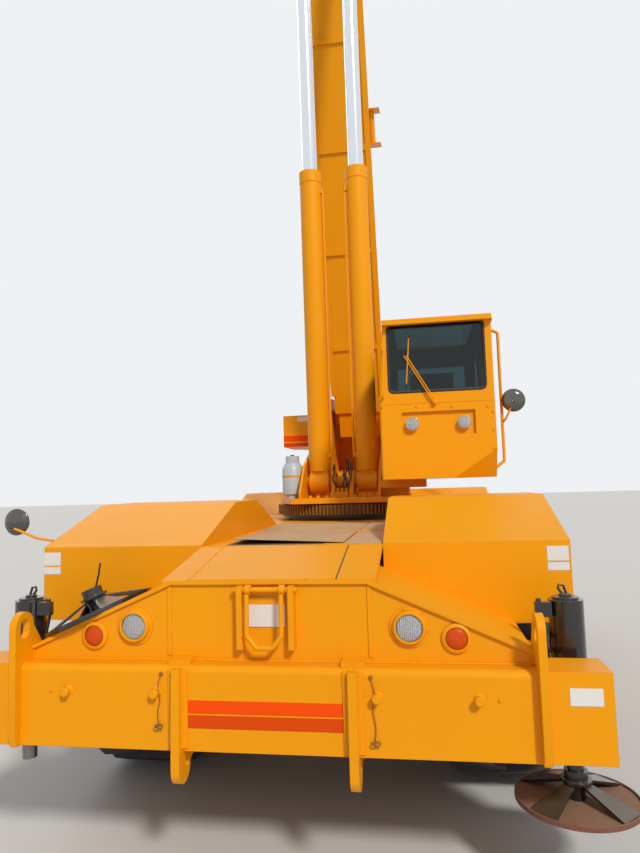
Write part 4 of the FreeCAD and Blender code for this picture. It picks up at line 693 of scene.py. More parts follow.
@dataclass
class Studio:
    """Camera at the photograph's place, a pale floor, and soft light with one main direction.

    Attributes:
        eye: The camera's place.
        yaw: Degrees that the view turns from straight back towards the machine's right.
        pitch: Degrees that the view looks up.
        roll: Degrees that the view leans.
        lens: Focal length in millimetres.
        sensor: Long side of the picture in millimetres.
        reach: How far the camera sees.
    """

    eye: Vector = field(default_factory=lambda: Vector((7.22, 0.9085, 2.14)))
    yaw: float = 9.01
    pitch: float = 5.04
    roll: float = -1.72
    lens: float = 27.01
    sensor: float = 36.0
    reach: float = 400.0

    def build(self) -> None:
        """Makes the camera, the floor, the lamps and the world."""
        yaw, pitch, roll = (math.radians(a) for a in (self.yaw, self.pitch, self.roll))
        ahead = Vector((-math.cos(pitch) * math.cos(yaw), -math.cos(pitch) * math.sin(yaw), math.sin(pitch)))
        right = ahead.cross(Vector((0, 0, 1))).normalized()
        up = right.cross(ahead)
        side = right * math.cos(roll) + up * math.sin(roll)
        top = up * math.cos(roll) - right * math.sin(roll)
        camera = bpy.data.objects.new("camera", bpy.data.cameras.new("camera"))
        camera.matrix_world = Matrix.Translation(self.eye) @ Matrix((side, top, -ahead)).transposed().to_4x4()
        camera.data.lens = self.lens
        camera.data.sensor_width = self.sensor
        camera.data.clip_end = self.reach
        bpy.context.scene.collection.objects.link(camera)
        bpy.context.scene.camera = camera
        bpy.context.scene.view_settings.view_transform = "Standard"
        self._floor()
        self._lamp("key", (0.66, 0.42, 0.62), 2.35, 8.0, (1.0, 0.97, 0.93))
        self._lamp("back", (-0.55, -0.50, 0.67), 0.35, 40.0, (0.97, 0.98, 1.0))
        world = bpy.data.worlds.new("studio")
        world.use_nodes = True
        tree, nodes = Tree(world.node_tree), world.node_tree.nodes
        tree.feed(nodes["Background"], {"Color": (0.90, 0.91, 0.92, 1.0), "Strength": 0.50})
        seen = tree.add("ShaderNodeBackground", {"Color": (0.86, 0.88, 0.90, 1.0), "Strength": 1.0})
        rays = tree.add("ShaderNodeLightPath").outputs
        both = tree.math("MAXIMUM", rays["Is Camera Ray"], rays["Is Transmission Ray"])
        both = tree.math("MAXIMUM", both, rays["Is Glossy Ray"])
        mixed = tree.add("ShaderNodeMixShader", {0: both, 1: nodes["Background"].outputs[0],
                                                 2: seen.outputs[0]})
        tree.feed(nodes["World Output"], {0: mixed.outputs[0]})
        bpy.context.scene.world = world

    def _floor(self) -> None:
        """Lays the pale floor."""
        draft = Draft()
        draft.box((-FLOOR_REACH, -FLOOR_REACH, -0.02), (FLOOR_REACH, FLOOR_REACH, 0))
        floor = bpy.data.objects.new("floor", draft.to_mesh("floor"))
        material = Surface("floor_pale", (0.62, 0.61, 0.59)).material()
        material.node_tree.nodes["Principled BSDF"].inputs["Roughness"].default_value = 0.85
        floor.data.materials.append(material)
        bpy.context.scene.collection.objects.link(floor)

    @staticmethod
    def _lamp(name: str, towards: Point, strength: float, spread: float, colour: Colour) -> None:
        """Adds a sun lamp.

        Args:
            name: The lamp's name.
            towards: Direction from the crane to the lamp.
            strength: Its strength.
            spread: Its angle in degrees, which softens the shadows.
            colour: Its colour.
        """
        data = bpy.data.lights.new(name, "SUN")
        data.energy = strength
        data.angle = math.radians(spread)
        data.color = colour
        lamp = bpy.data.objects.new(name, data)
        lamp.matrix_world = Vector(towards).to_track_quat("Z", "Y").to_matrix().to_4x4()
        bpy.context.scene.collection.objects.link(lamp)


@dataclass
class Frame:
    """The CAD nodes: their finishes, and smooth copies of the ones with round faces.

    Attributes:
        nodes: The nodes' objects, by name.
        bodies: The nodes of each body, by the body's name.
    """

    nodes: dict[str, bpy.types.Object]
    bodies: dict[str, list[str]]

    def body_of(self, node: str) -> str:
        """Name of the body that a node belongs to."""
        return next(body for body, names in self.bodies.items() if node in names)

    def dress(self) -> None:
        """Gives each node its finish, and shows a merged, smooth copy of the round ones."""
        for name, node in self.nodes.items():
            finish = NODE_FINISH.get(name, YELLOW)
            node.data.materials.clear()
            node.data.materials.append(finish.material())
            if name in ROUND_NODES or name.startswith(("rim_", "jack_", "outrigger_beam_", "knuckle_")):
                self.smooth(name, finish)

    def smooth(self, name: str, finish: Surface) -> None:
        """Shows a merged copy of a node with smooth round faces, crisp edges and its zones."""
        work = bmesh.new()
        work.from_mesh(self.nodes[name].data)
        bmesh.ops.remove_doubles(work, verts=work.verts, dist=MERGE_DISTANCE)
        work.normal_update()
        zones = [zone for zone in ZONES if zone.node == name]
        for face in work.faces:
            face.material_index = next((k for k, zone in enumerate(zones, 1) if zone.holds(face)), 0)
        creases = flat_borders(work)
        mesh = bpy.data.meshes.new(name + "_skin")
        work.to_mesh(mesh)
        work.free()
        for part in [finish] + [zone.finish for zone in zones]:
            mesh.materials.append(part.material())
        piece = place(name + "_skin", mesh, finish, self.body_of(name))
        mesh.edges.foreach_set("use_edge_sharp", creases)
        mesh.update()
        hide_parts(name)


def flat_borders(work: bmesh.types.BMesh, wide: float = 0.09) -> list[bool]:
    """Edges that stay crisp: corners, and the borders of broad flat faces.

    Args:
        work: The mesh, its faces all triangles.
        wide: Mean width in metres above which a flat face is broad.

    Returns:
        One value for each edge, in the mesh's order.
    """
    work.edges.index_update()
    work.faces.index_update()
    flat = math.radians(0.4)
    patch = [-1] * len(work.faces)
    broad: list[bool] = []
    for first in work.faces:
        if patch[first.index] >= 0:
            continue
        patch[first.index] = len(broad)
        members, queue = [first], [first]
        while queue:
            for edge in queue.pop().edges:
                if len(edge.link_faces) != 2 or edge.calc_face_angle(0.0) > flat:
                    continue
                for other in edge.link_faces:
                    if patch[other.index] < 0:
                        patch[other.index] = len(broad)
                        members.append(other)
                        queue.append(other)
        points = [v.co for face in members for v in face.verts]
        reach = (Vector([max(p[k] for p in points) for k in range(3)])
                 - Vector([min(p[k] for p in points) for k in range(3)])).length
        broad.append(sum(face.calc_area() for face in members) / max(reach, 1e-6) > wide)
    creases = []
    for edge in work.edges:
        if len(edge.link_faces) != 2:
            creases.append(True)
            continue
        one, two = (patch[face.index] for face in edge.link_faces)
        angle = edge.calc_face_angle(0.0)
        creases.append(angle > math.radians(CORNER_ANGLE) or (one != two and (broad[one] or broad[two])))
    return creases


@dataclass
class Tyres:
    """Wide earthmover tyres: bulged sides with moulded rings, and two rows of slanted lugs.

    Attributes:
        radius: Radius over the lugs.
        bead: Radius at the rim.
        half: Half of the width.
        lugs: Number of lugs in a row.
        depth: Height of the lugs.
    """

    radius: float = 0.935
    bead: float = 0.320
    half: float = 0.375
    lugs: int = 22
    depth: float = 0.048

    def build(self) -> None:
        """Makes the four tyres in place of their nodes."""
        for corner in CORNERS:
            low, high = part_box("tyre_" + corner)
            centre = (low + high) / 2
            outward = 1.0 if centre.y > ROW_SHIFT else -1.0
            carcass = self._carcass(centre)
            lugs = [self._lugs(centre, side, outward) for side in (-1, 1)]
            piece = place("tread_tyre_" + corner, merged([carcass] + lugs), RUBBER, "wheel_" + corner)
            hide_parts("tyre_" + corner)

    def _carcass(self, centre: Vector) -> bpy.types.Mesh:
        """The tyre's body below its lugs, as a closed ring with rib lines on its sides."""
        base = self.radius - self.depth
        half = self.half
        side = [(0.283, self.bead), (0.330, self.bead + 0.012), (0.352, 0.40), (half - 0.008, 0.47),
                (half, 0.55), (half, 0.575), (half + 0.004, 0.580), (half + 0.004, 0.595), (half, 0.60),
                (half, 0.66), (half - 0.003, 0.70), (half + 0.001, 0.705), (half + 0.001, 0.718),
                (half - 0.004, 0.724), (half - 0.022, 0.79), (half - 0.050, 0.85), (0.27, base - 0.010),
                (0.12, base), (0.0, base + 0.002)]
        left = [(-a, r) for a, r in side]
        ring = side + left[-2::-1]
        draft = Draft()
        draft.turned(ring + [ring[0]], centre, ALONG_Y, 96)
        return draft.to_mesh("carcass")

    def _lugs(self, centre: Vector, side: float, outward: float) -> bpy.types.Mesh:
        """One row of lugs, each slanted and wrapping over the shoulder.

        Args:
            centre: The wheel's centre.
            side: Which row, -1 or 1 along the axle.
            outward: Which way the wheel faces, which mirrors the slant.

        Returns:
            The row as one mesh.
        """
        sunk, flare, shoulder = 0.012, 0.012, 0.30
        base = self.radius - self.depth - sunk
        stations = ((-0.02, 0.030, self.radius, 0.00), (0.16, 0.036, self.radius, 0.05),
                    (0.28, 0.044, self.radius - 0.006, 0.085), (self.half - 0.035, 0.052, 0.885, 0.10),
                    (self.half - 0.010, 0.050, 0.80, 0.10))
        draft = Draft()
        rings = []
        for along, width, top, shift in stations:
            low = base if along < shoulder else top - 0.075
            y = -outward * (shift - 0.04)
            rings.append([draft.mesh.verts.new(Vector((r, y + s * w, side * along)))
                          for r, s, w in ((low, -1, width + flare), (top, -1, width), (top, 1, width),
                                          (low, 1, width + flare))])
        draft.skin(rings)
        bmesh.ops.bevel(draft.mesh, geom=draft.mesh.edges[:], offset=0.006, segments=1, affect="EDGES")
        shape = draft.to_mesh("lug")
        start = math.pi / self.lugs if side > 0 else 0.0
        return Pattern.RING.copies(shape, RUBBER, Count=self.lugs, Start=start,
                                   Turn=(math.radians(-90.0), 0.0, 0.0), Place=tuple(centre))


@dataclass
class Hubs:
    """Wheel nuts and hub cover bolts on the four rims.

    Attributes:
        nuts: The wheel nuts' number, the radius of their ring, how far out it is, and their size.
        bolts: The same of the hub covers' bolts.
    """

    nuts: tuple[int, float, float, float] = (20, 0.222, 0.190, 0.030)
    bolts: tuple[int, float, float, float] = (12, 0.168, 0.2475, 0.024)

    def build(self) -> None:
        """Adds the nuts of each wheel as one piece."""
        for corner in CORNERS:
            middle = sum(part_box("rim_" + corner), Vector()) / 2
            outward = 1.0 if middle.y > ROW_SHIFT else -1.0
            turn = (math.radians(-90.0 * outward), 0.0, 0.0)
            rings = []
            for count, radius, depth, size in (self.nuts, self.bolts):
                bolt = hex_bolt(size, size * 0.8)
                bolt.transform(Matrix.Translation((radius, 0, 0)))
                face = (middle.x, ROW_SHIFT + outward * (WHEEL_Y + depth), middle.z)
                rings.append(Pattern.RING.copies(bolt, ZINC, Count=count, Start=0.0, Turn=turn, Place=face))
            place("wheel_nuts_" + corner, merged(rings), ZINC, "wheel_" + corner)


@dataclass
class BumperTrim:
    """Stripes, round pins, tow-hook plates, weld lines and blank plates on the carrier's front.

    Attributes:
        face: X of the bumper's front face.
        hook: Y of the tow hooks from the middle.
    """

    face: float = BUMPER_X
    hook: float = 0.458

    def build(self) -> None:
        """Adds every piece of the front."""
        self._stripes()
        self._pins()
        self._plates()
        self._welds()

    def _stripes(self) -> None:
        """Two painted stripes between the tow hooks."""
        half = self.hook - 0.054
        for name, low, high, finish in (("stripe_upper", 0.974, 1.040, STRIPE_HIGH),
                                        ("stripe_lower", 0.900, 0.966, STRIPE_LOW)):
            blocks(name, finish, "carrier",
                   [((self.face - 0.001, -half, low), (self.face + 0.0006, half, high))])

    def _pins(self) -> None:
        """Short round pins welded to the face, with lanyards beside the inner two."""
        draft = Draft()
        for y in (-1.075, -0.578, 0.577, 1.070):
            centre = row(self.face - 0.002, y, 1.077)
            draft.turned(((0, 0.030), (0.006, 0.026), (0.012, 0.019), (0.034, 0.0185), (0.036, 0.024),
                          (0.046, 0.024), (0.050, 0.020), (0.050, 0)), centre, ALONG_X, 24)
        for y in (-1.175, 1.168):
            centre = row(self.face - 0.001, y, 1.073)
            draft.turned(((0, 0.009), (0.007, 0.008), (0.009, 0)), centre, ALONG_X, 12)
        draft.piece("bumper_pins", YELLOW, "carrier")
        lanyard = Draft()
        for sign, hang in ((-1, 0.250), (1, 0.300)):
            top = row(self.face + 0.006, sign * 0.549, 1.170)
            lanyard.turned(((-0.008, 0.011), (0.0, 0.011), (0.004, 0.008), (0.004, 0)), top, ALONG_X, 12)
            wire = [(sign * (0.012 + 0.006 * math.sin(i * 0.8)) * min(i, 3) / 3, -hang * i / 12)
                    for i in range(13)]
            lanyard.tube([top + Vector((0.003, y, z)) for y, z in wire], 0.0024, 6)
            foot = top + Vector((0.006, 0.014 * sign, -hang - 0.016))
            for turn, wide in ((0.5, 0.026), (-0.6, 0.018)):
                angles = [i * math.tau / 14 for i in range(14)]
                loop = [(wide * math.cos(a) * math.cos(turn) - 0.010 * math.sin(a),
                         wide * math.cos(a) * math.sin(turn) + 0.010 * math.sin(a)) for a in angles]
                lanyard.tube([foot + Vector((0, y, z)) for y, z in loop], 0.0026, 6, closed=True)
        lanyard.piece("pin_lanyards", LANYARD, "carrier")

    def _plates(self) -> None:
        """Backing plates of the tow hooks, and the blank plates at their places."""
        blocks("hook_backing", YELLOW, "carrier",
               [((self.face - 0.004, y - 0.052, 0.800), (self.face + 0.010, y + 0.052, 1.196))
                for y in (-self.hook, self.hook)], 0.003)
        blocks("fender_blanks", BLANK_WHITE, "carrier",
               [((FENDER_X - 0.0004, y - 0.062, low), (FENDER_X + 0.0008, y + 0.062, high))
                for y in (-1.632, 1.616) for low, high in ((1.640, 1.728), (1.584, 1.632))])
        blocks("bail_blank", BLANK_WHITE, "carrier",
               [((HOUSING_X + 0.0025, -0.109, 1.388), (HOUSING_X + 0.0040, 0.098, 1.505))], 0.0006)
        blocks("beam_head_blank", BLANK_WHITE, "beam_front_left",
               [((self.face - 0.0005, 1.488, 1.055), (self.face + 0.002, 1.640, 1.138))], 0.0008)

    def _welds(self) -> None:
        """Weld beads where the housing stands on the box and along the tow hooks."""
        foot, end = HOUSING_X + 0.004, HOUSING_X + 0.003
        runs = [((foot, -1.345, 1.214), (foot, 1.345, 1.214), 0.007)]
        for sign in (-1, 1):
            runs.append(((end, sign * 1.347, 1.216), (end, sign * 1.347, 1.284), 0.006))
            for edge in (-0.024, 0.024):
                y = sign * self.hook + edge
                runs.append(((self.face + 0.011, y, 0.802), (self.face + 0.011, y, 1.190), 0.006))
        steps = 60
        tubes("weld_beads", YELLOW, "carrier",
              [([Vector(start).lerp(Vector(end), i / steps) for i in range(steps + 1)], size)
               for start, end, size in runs])


@dataclass
class CabTrim:
    """Window seals, wiper, panel screws and gutter of the cab.

    Attributes:
        front: X of the cab's front face.
        panel: How far the lower front panel stands out.
        side: Y of the outer wall.
    """

    front: float = 1.650
    panel: float = 0.008
    side: float = 1.478

    def build(self) -> None:
        """Adds every piece of the cab."""
        self._seals()
        self._wiper()
        self._screws()
        self._gutter()

    def _seals(self) -> None:
        """Black rubber seals round the fixed panes and the door's pane."""
        fixed = Draft()
        front = rounded_loop(self.front - 0.004, (0.590 + ROW_SHIFT, 1.410 + ROW_SHIFT), (2.905, 3.500),
                             0.040)
        fixed.tube(front, 0.013, 8, closed=True)
        loop = rounded_loop(0.0, (0.700, 1.560), (2.815, 3.420), 0.035)
        fixed.tube([row(p.y, self.side - 0.002, p.z) for p in loop], 0.011, 8, closed=True)
        back = rounded_loop(-0.148, (0.600 + ROW_SHIFT, 1.370 + ROW_SHIFT), (2.850, 3.420), 0.035)
        fixed.tube(back, 0.011, 8, closed=True)
        fixed.piece("window_seals", GASKET, "upperworks")
        door = Draft()
        loop = rounded_loop(0.0, (-0.020, 0.600), (2.815, 3.388), 0.035)
        door.tube([row(p.y, self.side + 0.029, p.z) for p in loop], 0.010, 8, closed=True)
        door.piece("door_seal", GASKET, "cab_door")

    def _wiper(self) -> None:
        """Pantograph wiper of the front pane."""
        arm = Draft()
        pivot = row(self.front + 0.030, 0.976, 2.802)
        elbow = row(self.front + 0.038, 0.738, 3.217)
        for offset in (-0.011, 0.011):
            shift = Vector((0, offset, 0))
            arm.tube([pivot + shift, elbow + shift], 0.0055, 8)
        arm.turned(((-0.03, 0.020), (0.012, 0.020), (0.018, 0.012), (0.018, 0)), pivot, ALONG_X, 16)
        stem = self.front + 0.034
        arm.tube([row(stem, 0.775, 3.370), row(stem, 0.740, 2.970)], 0.006, 8)
        arm.piece("wiper_arm", YELLOW, "upperworks")
        pane = self.front + 0.022
        tubes("wiper_blade", GASKET, "upperworks", [(((pane, 0.780, 3.391), (pane, 0.735, 2.936)), 0.006)])

    def _screws(self) -> None:
        """Screws along the top and outer edge of the lower front panel."""
        head = hex_bolt(0.020, 0.008)
        face = self.front + self.panel - 0.001
        screws = [Pattern.LINE.copies(head, YELLOW, Count=count, Turn=TURN_TO_X, Step=step,
                                      Place=tuple(row(face, y, z)))
                  for y, z, step, count in ((0.520, 2.783, (0.0, 0.299, -0.012), 4),
                                            (1.458, 2.700, (0.0, 0.0, -0.155), 3))]
        place("panel_screws", merged(screws), YELLOW, "upperworks")

    def _gutter(self) -> None:
        """Rain gutter along the roof's outer side and a weld line under the front panel's top."""
        edge, seam = self.side + 0.004, self.front + 0.006
        tubes("roof_gutter", YELLOW, "upperworks",
              [(((-0.14, edge, 3.492), (self.front + 0.05, edge, 3.492)), 0.008),
               (((seam, 0.512, 2.800), (seam, self.side - 0.004, 2.800)), 0.005)])


@dataclass
class Lamps:
    """Round lamps: a bright bowl behind a fluted lens, and the screws of their rings.

    Attributes:
        head: Radius of a head lamp's lens, and how far it is from the lamp's back.
        work: The same of a work lamp.
    """

    head: tuple[float, float] = (0.0675, 0.035)
    work: tuple[float, float] = (0.0565, 0.058)

    def build(self) -> None:
        """Makes the head lamps and work lamps in place of their nodes."""
        heads = [row(HOUSING_X, s * 0.745, 1.390) for s in (-1, 1)]
        works = [row(1.628, y, 2.622) for y in (0.775, 1.216)]
        self._set("headlight", "headlights", heads, *self.head, "carrier")
        self._set("work_lamp", "work_lamps", works, *self.work, "upperworks")
        screw = hex_bolt(0.011, 0.004)
        screw.transform(Matrix.Translation((0.0955, 0, 0)))
        rings = [Pattern.RING.copies(screw, YELLOW, Count=6, Start=0.3, Turn=TURN_TO_X,
                                     Place=tuple(spot + Vector((0.0055, 0, 0))))
                 for spot in heads]
        place("lamp_screws", merged(rings), YELLOW, "carrier")

    @staticmethod
    def _set(name: str, node: str, centres: Sequence[Vector], radius: float, depth: float, body: str) -> None:
        """Makes the lamps of one node.

        Args:
            name: Name of the pieces.
            node: The node that they take the place of.
            centres: Middle of each lamp's back.
            radius: Radius of the lens.
            depth: From the back to the lens's middle.
            body: The body that they ride on.
        """
        can, lens = Draft(), Draft()
        rim = depth - 0.016
        bowl = ((0, 0), (0, radius * 0.9), (rim - 0.004, radius), (rim, radius), (rim, radius - 0.003),
                (rim * 0.62, radius * 0.86), (rim * 0.34, radius * 0.55), (rim * 0.22, radius * 0.16),
                (rim * 0.42, radius * 0.12), (rim * 0.42, 0))
        glass = ((rim - 0.003, 0), (rim - 0.003, radius - 0.004), (rim, radius - 0.0035),
                 (rim + 0.006, radius * 0.90), (rim + 0.012, radius * 0.62), (rim + 0.016, radius * 0.25),
                 (rim + 0.016, 0))
        for centre in centres:
            can.turned(bowl, centre, ALONG_X, 32)
            lens.turned(glass, centre, ALONG_X, 32)
        piece = can.piece(name + "_bowls", REFLECTOR, body)
        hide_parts(node)
        lens.piece(name + "_lenses", LENS, body)


@dataclass
class CarrierTrim:
    """Joint strips of the front housing, hood lid, deck plates, jack fittings, float rod and shafts.

    Attributes:
        face: X of the housing's front face.
        deck: Height of the deck.
        nose: X and Z of the hood's front edge.
        hood_front: X of the front edge of the hood's lid.
        hood_back: X of its back edge.
    """

    face: float = HOUSING_X
    deck: float = 1.752
    nose: tuple[float, float] = (3.854, 1.633)
    hood_front: float = 3.846
    hood_back: float = 3.222

    def build(self) -> None:
        """Adds every piece."""
        self._strips()
        self._lid()
        self._deck_plates()
        self._jack_fittings()
        self._stowed_rod()
        self._shafts()

    def hood_z(self, x: float) -> float:
        """Height of the hood's top at one X."""
        nose_x, nose_z = self.nose
        return nose_z + (nose_x - x) * (self.deck - nose_z) / (nose_x - FENDER_X)

    def hood_outline(self, low_y: float, high_y: float, sunk: float = 0.0) -> list[Vector]:
        """Corners of a strip of the hood's top, sunk below it by a length."""
        corners = ((self.hood_front, low_y), (self.hood_front, high_y), (self.hood_back, high_y),
                   (self.hood_back, low_y))
        return [row(x, y, self.hood_z(x) - sunk) for x, y in corners]

    def _strips(self) -> None:
        """Upright joint strips on the housing's face."""
        blocks("face_strips", YELLOW, "carrier",
               [((self.face - 0.002, y - 0.012, 1.236), (self.face + 0.006, y + 0.012, 1.611))
                for y in (-0.545, 0.545)], 0.002)

    def _lid(self) -> None:
        """Lid on the hood's middle, its seam on the left and its raised edge on the right."""
        draft = Draft()
        for low_y, high_y, rise in ((-0.428, 0.370, 0.004), (0.378, 0.580, 0.003)):
            draft.plate(self.hood_outline(low_y, high_y, 0.001), (0, 0, rise + 0.001))
        edge = [row(x, -0.432, self.hood_z(x) + 0.003) for x in (self.hood_front, self.hood_back)]
        draft.tube(edge, 0.007, 8)
        draft.piece("hood_lid", YELLOW, "carrier", bevel=0.0012)
        seam = Draft()
        seam.plate(self.hood_outline(0.3695, 0.3785), (0, 0, 0.0008))
        seam.piece("hood_seam", GASKET, "carrier")

    def _deck_plates(self) -> None:
        """Tan grip plates on the deck, the front one sprung up over a black sheet that is painted shade for
        the gap beneath it.
        """
        plates = Draft()
        top = self.deck
        spans = ((2.420, 3.180, 0.340, 0.574), (1.120, 2.180, -0.540, 0.330),
                 (1.120, 2.410, 0.340, 0.574), (-1.920, -1.120, -0.540, 0.540))
        for x0, x1, y0, y1 in spans:
            plates.box(row(x0, y0, top - 0.001), row(x1, y1, top + 0.006))
        sprung = [row(x, y, top + rise) for x, y, rise in (
            (2.190, -0.450, 0.004), (2.190, 0.325, 0.004), (3.090, 0.325, 0.004), (3.090, -0.420, 0.034))]
        plates.plate(sprung, (0, 0, 0.006))
        plates.piece("deck_plates", DECK_TAN, "carrier", bevel=0.0015)
        # Black sheet under the sprung plate: painted shade of the gap beneath it, not a real part.
        blocks("deck_gap_painted_shade", GASKET, "carrier", [((2.240, -0.440, top - 0.001), (3.150, 0.200, top + 0.001))])
        blocks("deck_bars", YELLOW, "carrier",
               [((2.182, -0.560, top - 0.001), (2.188, 0.574, top + 0.012)),
                ((3.190, -0.574, top - 0.002), (3.206, 0.574, top + 0.004))], 0.001)

    def _jack_fittings(self) -> None:
        """Lid, lifting handle and side bracket with its thin rod, at each jack's top."""
        top = 1.489
        for corner, (end, side) in CORNERS.items():
            x, y = end * JACK_X, side * JACK_Y
            draft = Draft()
            lid = ((-0.004, 0.034), (0.012, 0.034), (0.018, 0.026), (0.018, 0))
            draft.turned(lid, row(x, y, top), ALONG_Z, 16)
            handle = ((0.014, 0.014), (0.034, 0.042), (0.030, 0.062), (0.006, 0.058), (-0.008, 0.014))
            draft.tube([row(x, y - inward * side, top + rise) for inward, rise in handle], 0.008, 8)
            draft.box(row(x + 0.035 * end, y - side * 0.172, 1.392),
                      row(x + 0.075 * end, y - side * 0.085, 1.470))
            bracket = x + 0.055 * end
            knob = row(bracket, y - side * 0.150, 1.470)
            draft.turned(((0, 0.014), (0.018, 0.014), (0.018, 0)), knob, ALONG_Z, 12)
            rod = [row(bracket, y - side * 0.160, 1.395), row(bracket, y - side * 0.100, 1.120)]
            draft.tube(rod, 0.010, 8)
            draft.piece("jack_fittings_" + corner, JACK_BLACK, "beam_" + corner, bevel=0.002)

    def _stowed_rod(self) -> None:
        """Thin locking rod that stands up out of the stowed float's socket."""
        path = ((3.590, -1.112, 1.560), (3.598, -1.088, 1.640), (3.600, -1.078, 1.705))
        tubes("float_rod", JACK_BLACK, "carrier", [(path, 0.006)], sides=8)

    def _shafts(self) -> None:
        """Propeller shafts from the axles' noses into the frame, with their joints."""
        draft = Draft()
        for sx in (-1, 1):
            nose = row(sx * 1.622, 0.0, 0.955)
            draft.turned(((0, 0.075), (0.016, 0.075), (0.016, 0.040), (0.070, 0.040), (0.070, 0)), nose,
                         (-sx, 0, 0), 20)
            draft.box(nose + Vector((-sx * 0.085 - 0.045, -0.016, -0.055)),
                      nose + Vector((-sx * 0.085 + 0.045, 0.016, 0.055)))
            draft.turned(((0.09, 0), (0.09, 0.034), (0.15, 0.044), (0.34, 0.044), (0.34, 0)), nose,
                         (-sx, 0, 0.16), 20)
        draft.piece("propeller_shafts", BLACK, "carrier")


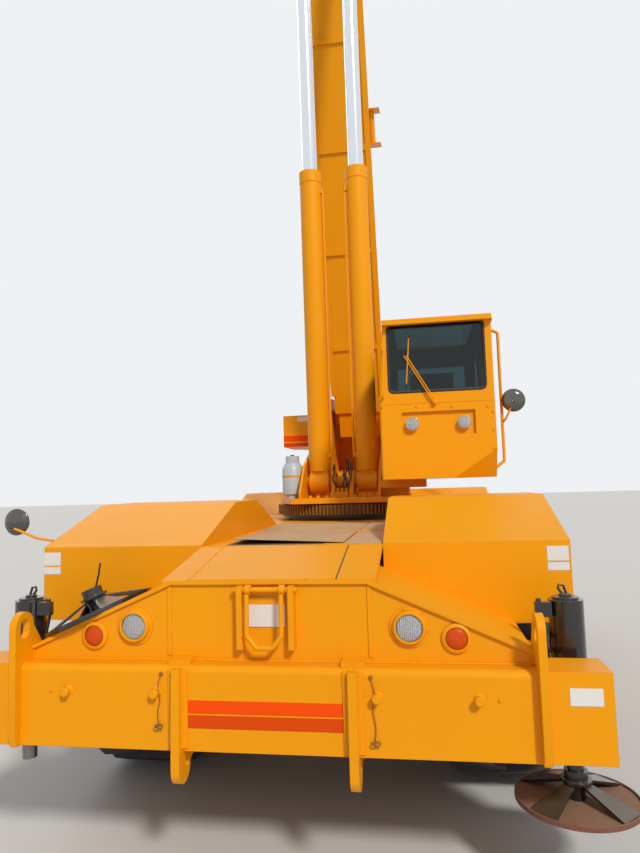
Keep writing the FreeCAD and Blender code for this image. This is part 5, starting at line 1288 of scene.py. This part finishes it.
@dataclass
class UpperTrim:
    """Bottle strap, hoses at the ram feet, weight stripes, turret bolts and the hoist rope.

    Attributes:
        pivot: X and Z of the boom's pivot.
        rest: Degrees of the boom at rest.
        roller: Place along the boom of the rope's roller.
    """

    pivot: tuple[float, float] = (-2.030, 3.100)
    rest: float = 72.0
    roller: float = 0.55

    def build(self) -> None:
        """Adds every piece."""
        self._strap()
        self._hoses()
        self._weight()
        self._bolts()
        self._rope()

    def boom_point(self, along: float, y: float, away: float) -> Vector:
        """A point given along the boom at rest and away from its middle line."""
        a = math.radians(self.rest)
        return row(self.pivot[0] + along * math.cos(a) - away * math.sin(a), y,
                   self.pivot[1] + along * math.sin(a) + away * math.cos(a))

    def _strap(self) -> None:
        """Strap round the gas bottle and its bracket on the turret's cheek, and the bottle's valve."""
        low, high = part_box("gas_bottle")
        x, y, _ = (low + high) / 2
        z, cheek = 2.212, ROW_SHIFT - 0.421
        draft = Draft()
        band = ((0, 0.1125), (0, 0.1155), (0.018, 0.1155), (0.018, 0.1125), (0, 0.1125))
        draft.turned(band, (x, y, z), ALONG_Z, 40)
        draft.box((x - 0.020, y + 0.108, z), (x + 0.020, cheek, z + 0.018))
        draft.piece("bottle_strap", YELLOW, "upperworks")
        valve = Draft()
        body = ((0, 0.018), (0.030, 0.018), (0.030, 0.010), (0.044, 0.010), (0.044, 0.022), (0.056, 0.022),
                (0.056, 0))
        valve.turned(body, (x, y, 2.395), ALONG_Z, 16)
        valve.tube([(x, y + 0.016, 2.410), (x + 0.03, y + 0.050, 2.400), (x - 0.05, cheek - 0.011, 2.300),
                    (x - 0.12, cheek - 0.007, 2.050)], 0.007, 8)
        valve.piece("bottle_valve", STEEL, "upperworks")

    def _hoses(self) -> None:
        """Hoses and their fittings between the ram feet."""
        hoses = Draft()
        arcs = ((0.500, -0.045, 0.300, 0.000, 2.330, -0.085), (0.500, 0.000, 0.300, 0.045, 2.405, 0.060),
                (0.500, 0.045, 0.300, -0.045, 2.270, 0.015), (0.500, 0.045, 0.300, 0.045, 2.360, 0.100))
        for x0, y0, x1, y1, top, side in arcs:
            middle = row((x0 + x1) / 2, side, top)
            points = [row(x0, y0, 2.080), row(x0 + 0.025, y0 + side * 0.5, 2.170),
                      middle + Vector((0.090, 0.012, -0.070)), middle,
                      middle + Vector((-0.070, -0.020, -0.060)), row(x1 - 0.010, y1 + side * 0.4, 2.160),
                      row(x1, y1, 2.080)]
            hoses.tube(curve_through(points, 6), 0.0085, 8)
        hoses.piece("ram_hoses", HOSE, "upperworks")
        block = Draft()
        block.box(row(0.240, -0.072, TURRET_FOOT), row(0.560, 0.072, 2.040))
        for x in (0.300, 0.500):
            for y in (-0.045, 0.0, 0.045):
                block.turned(((0, 0.014), (0.046, 0.014), (0.046, 0)), row(x, y, 2.036), ALONG_Z, 6)
        block.piece("hose_block", YELLOW, "upperworks", bevel=0.003)

    def _weight(self) -> None:
        """Stripes low on the weight's front and sides, and its small blank plate."""
        back, front = -2.561, -2.5592
        for name, low, high, finish in (("weight_stripe_upper", 2.796, 2.886, STRIPE_HIGH),
                                        ("weight_stripe_lower", 2.714, 2.774, STRIPE_LOW)):
            sides = ((back, -1.280, -0.432), (back, 0.432, 1.280), (-3.348, -1.2812, -1.2792),
                     (-3.348, 1.2792, 1.2812))
            blocks(name, finish, "upperworks", [((x, y0, low), (front, y1, high)) for x, y0, y1 in sides])
        blocks("weight_blank", BLANK_WHITE, "upperworks",
               [((back, -1.060, 3.105), (front + 0.0004, -0.872, 3.180))])

    def _bolts(self) -> None:
        """Bolts that hold the turret down on the swing gear."""
        bolt = hex_bolt(0.034, 0.026)
        bolt.transform(Matrix.Translation((0.640, 0, 0)))
        ring = Pattern.RING.copies(bolt, YELLOW, Count=40, Start=0.08, Turn=(0.0, 0.0, 0.0),
                                   Place=tuple(row(0.0, 0.0, TURRET_FOOT)))
        work = bmesh.new()
        work.from_mesh(ring)
        hidden = [v for v in work.verts if abs(v.co.y - ROW_SHIFT) > 0.360 and v.co.x > -0.10]
        bmesh.ops.delete(work, geom=hidden, context="VERTS")
        work.to_mesh(ring)
        work.free()
        place("turret_bolts", merged([ring]), YELLOW, "upperworks")

    def _rope(self) -> None:
        """Hoist rope: up the boom's heel beside the drum, along the boom, and to the head's upper sheave."""
        start = self.boom_point(0.03, 0.0, 0.655)
        heel = self.boom_point(self.roller, 0.0, 0.688)
        head = self.boom_point(10.79, 0.0, 0.638)
        base = heel.lerp(head, 0.905)
        runs = (("rope_at_heel", (start, heel), 0.0082, "boom_base"),
                ("rope_on_boom", (heel, base), 0.0082, "boom_base"),
                ("rope_at_head", (heel.lerp(head, 0.03), head), 0.0080, "boom_fly"))
        for name, points, radius, body in runs:
            draft = Draft()
            draft.tube(points, radius, 10)
            draft.piece(name, STEEL, body)
        guide = Draft()
        spool = ((-0.07, 0.028), (-0.07, 0.040), (-0.055, 0.030), (0.055, 0.030), (0.07, 0.040),
                 (0.07, 0.028))
        guide.turned(spool, self.boom_point(self.roller, 0.0, 0.650), ALONG_Y, 24)
        pin = [(-0.095, 0.650), (0.095, 0.650)]
        legs = [[(y, 0.555), (y, 0.665)] for y in (-0.085, 0.085)]
        for ends, radius in ((legs[0], 0.014), (legs[1], 0.014), (pin, 0.012)):
            guide.tube([self.boom_point(self.roller, y, away) for y, away in ends], radius, 8)
        guide.piece("rope_roller", STEEL, "boom_base")


def curve_through(points: Sequence[Point], steps: int) -> list[Vector]:
    """Smooth path through points, by Catmull-Rom pieces.

    Args:
        points: The points, ends included.
        steps: Pieces between two points.

    Returns:
        The path's points.
    """
    knots = [Vector(points[0])] + [Vector(p) for p in points] + [Vector(points[-1])]
    path = []
    for before, start, end, after in zip(knots, knots[1:], knots[2:], knots[3:]):
        for i in range(steps):
            t = i / steps
            square = 2 * before - 5 * start + 4 * end - after
            cube = 3 * start - before - 3 * end + after
            path.append(0.5 * (2 * start + (end - before) * t + square * t ** 2 + cube * t ** 3))
    return path + [knots[-1]]


def rounded_loop(x: float, y: Sequence[float], z: Sequence[float], radius: float) -> list[Vector]:
    """Points of a rectangle with round corners, at one X.

    Args:
        x: Its X.
        y: Its low and high Y.
        z: Its low and high Z.
        radius: Radius of the corners.

    Returns:
        The points, in order round it.
    """
    points = []
    corners = ((y[1] - radius, z[1] - radius, 0.0), (y[0] + radius, z[1] - radius, 90.0),
               (y[0] + radius, z[0] + radius, 180.0), (y[1] - radius, z[0] + radius, 270.0))
    for cy, cz, start in corners:
        for i in range(7):
            angle = math.radians(start + 15.0 * i)
            points.append(Vector((x, cy + radius * math.cos(angle), cz + radius * math.sin(angle))))
    return points


def main() -> None:
    """Loads the frame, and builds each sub-assembly in order."""
    logging.basicConfig(level=logging.INFO, format="%(message)s")
    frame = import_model()
    for build in (build_dust_group, build_edge_group, build_mottle_group, build_grain_group):
        build()
    Studio().build()
    Frame(frame["nodes"], frame["record"]["behaviour"]["bodies"]).dress()
    Tyres().build()
    Hubs().build()
    BumperTrim().build()
    CarrierTrim().build()
    UpperTrim().build()
    CabTrim().build()
    Lamps().build()


if __name__ == "__main__":
    main()
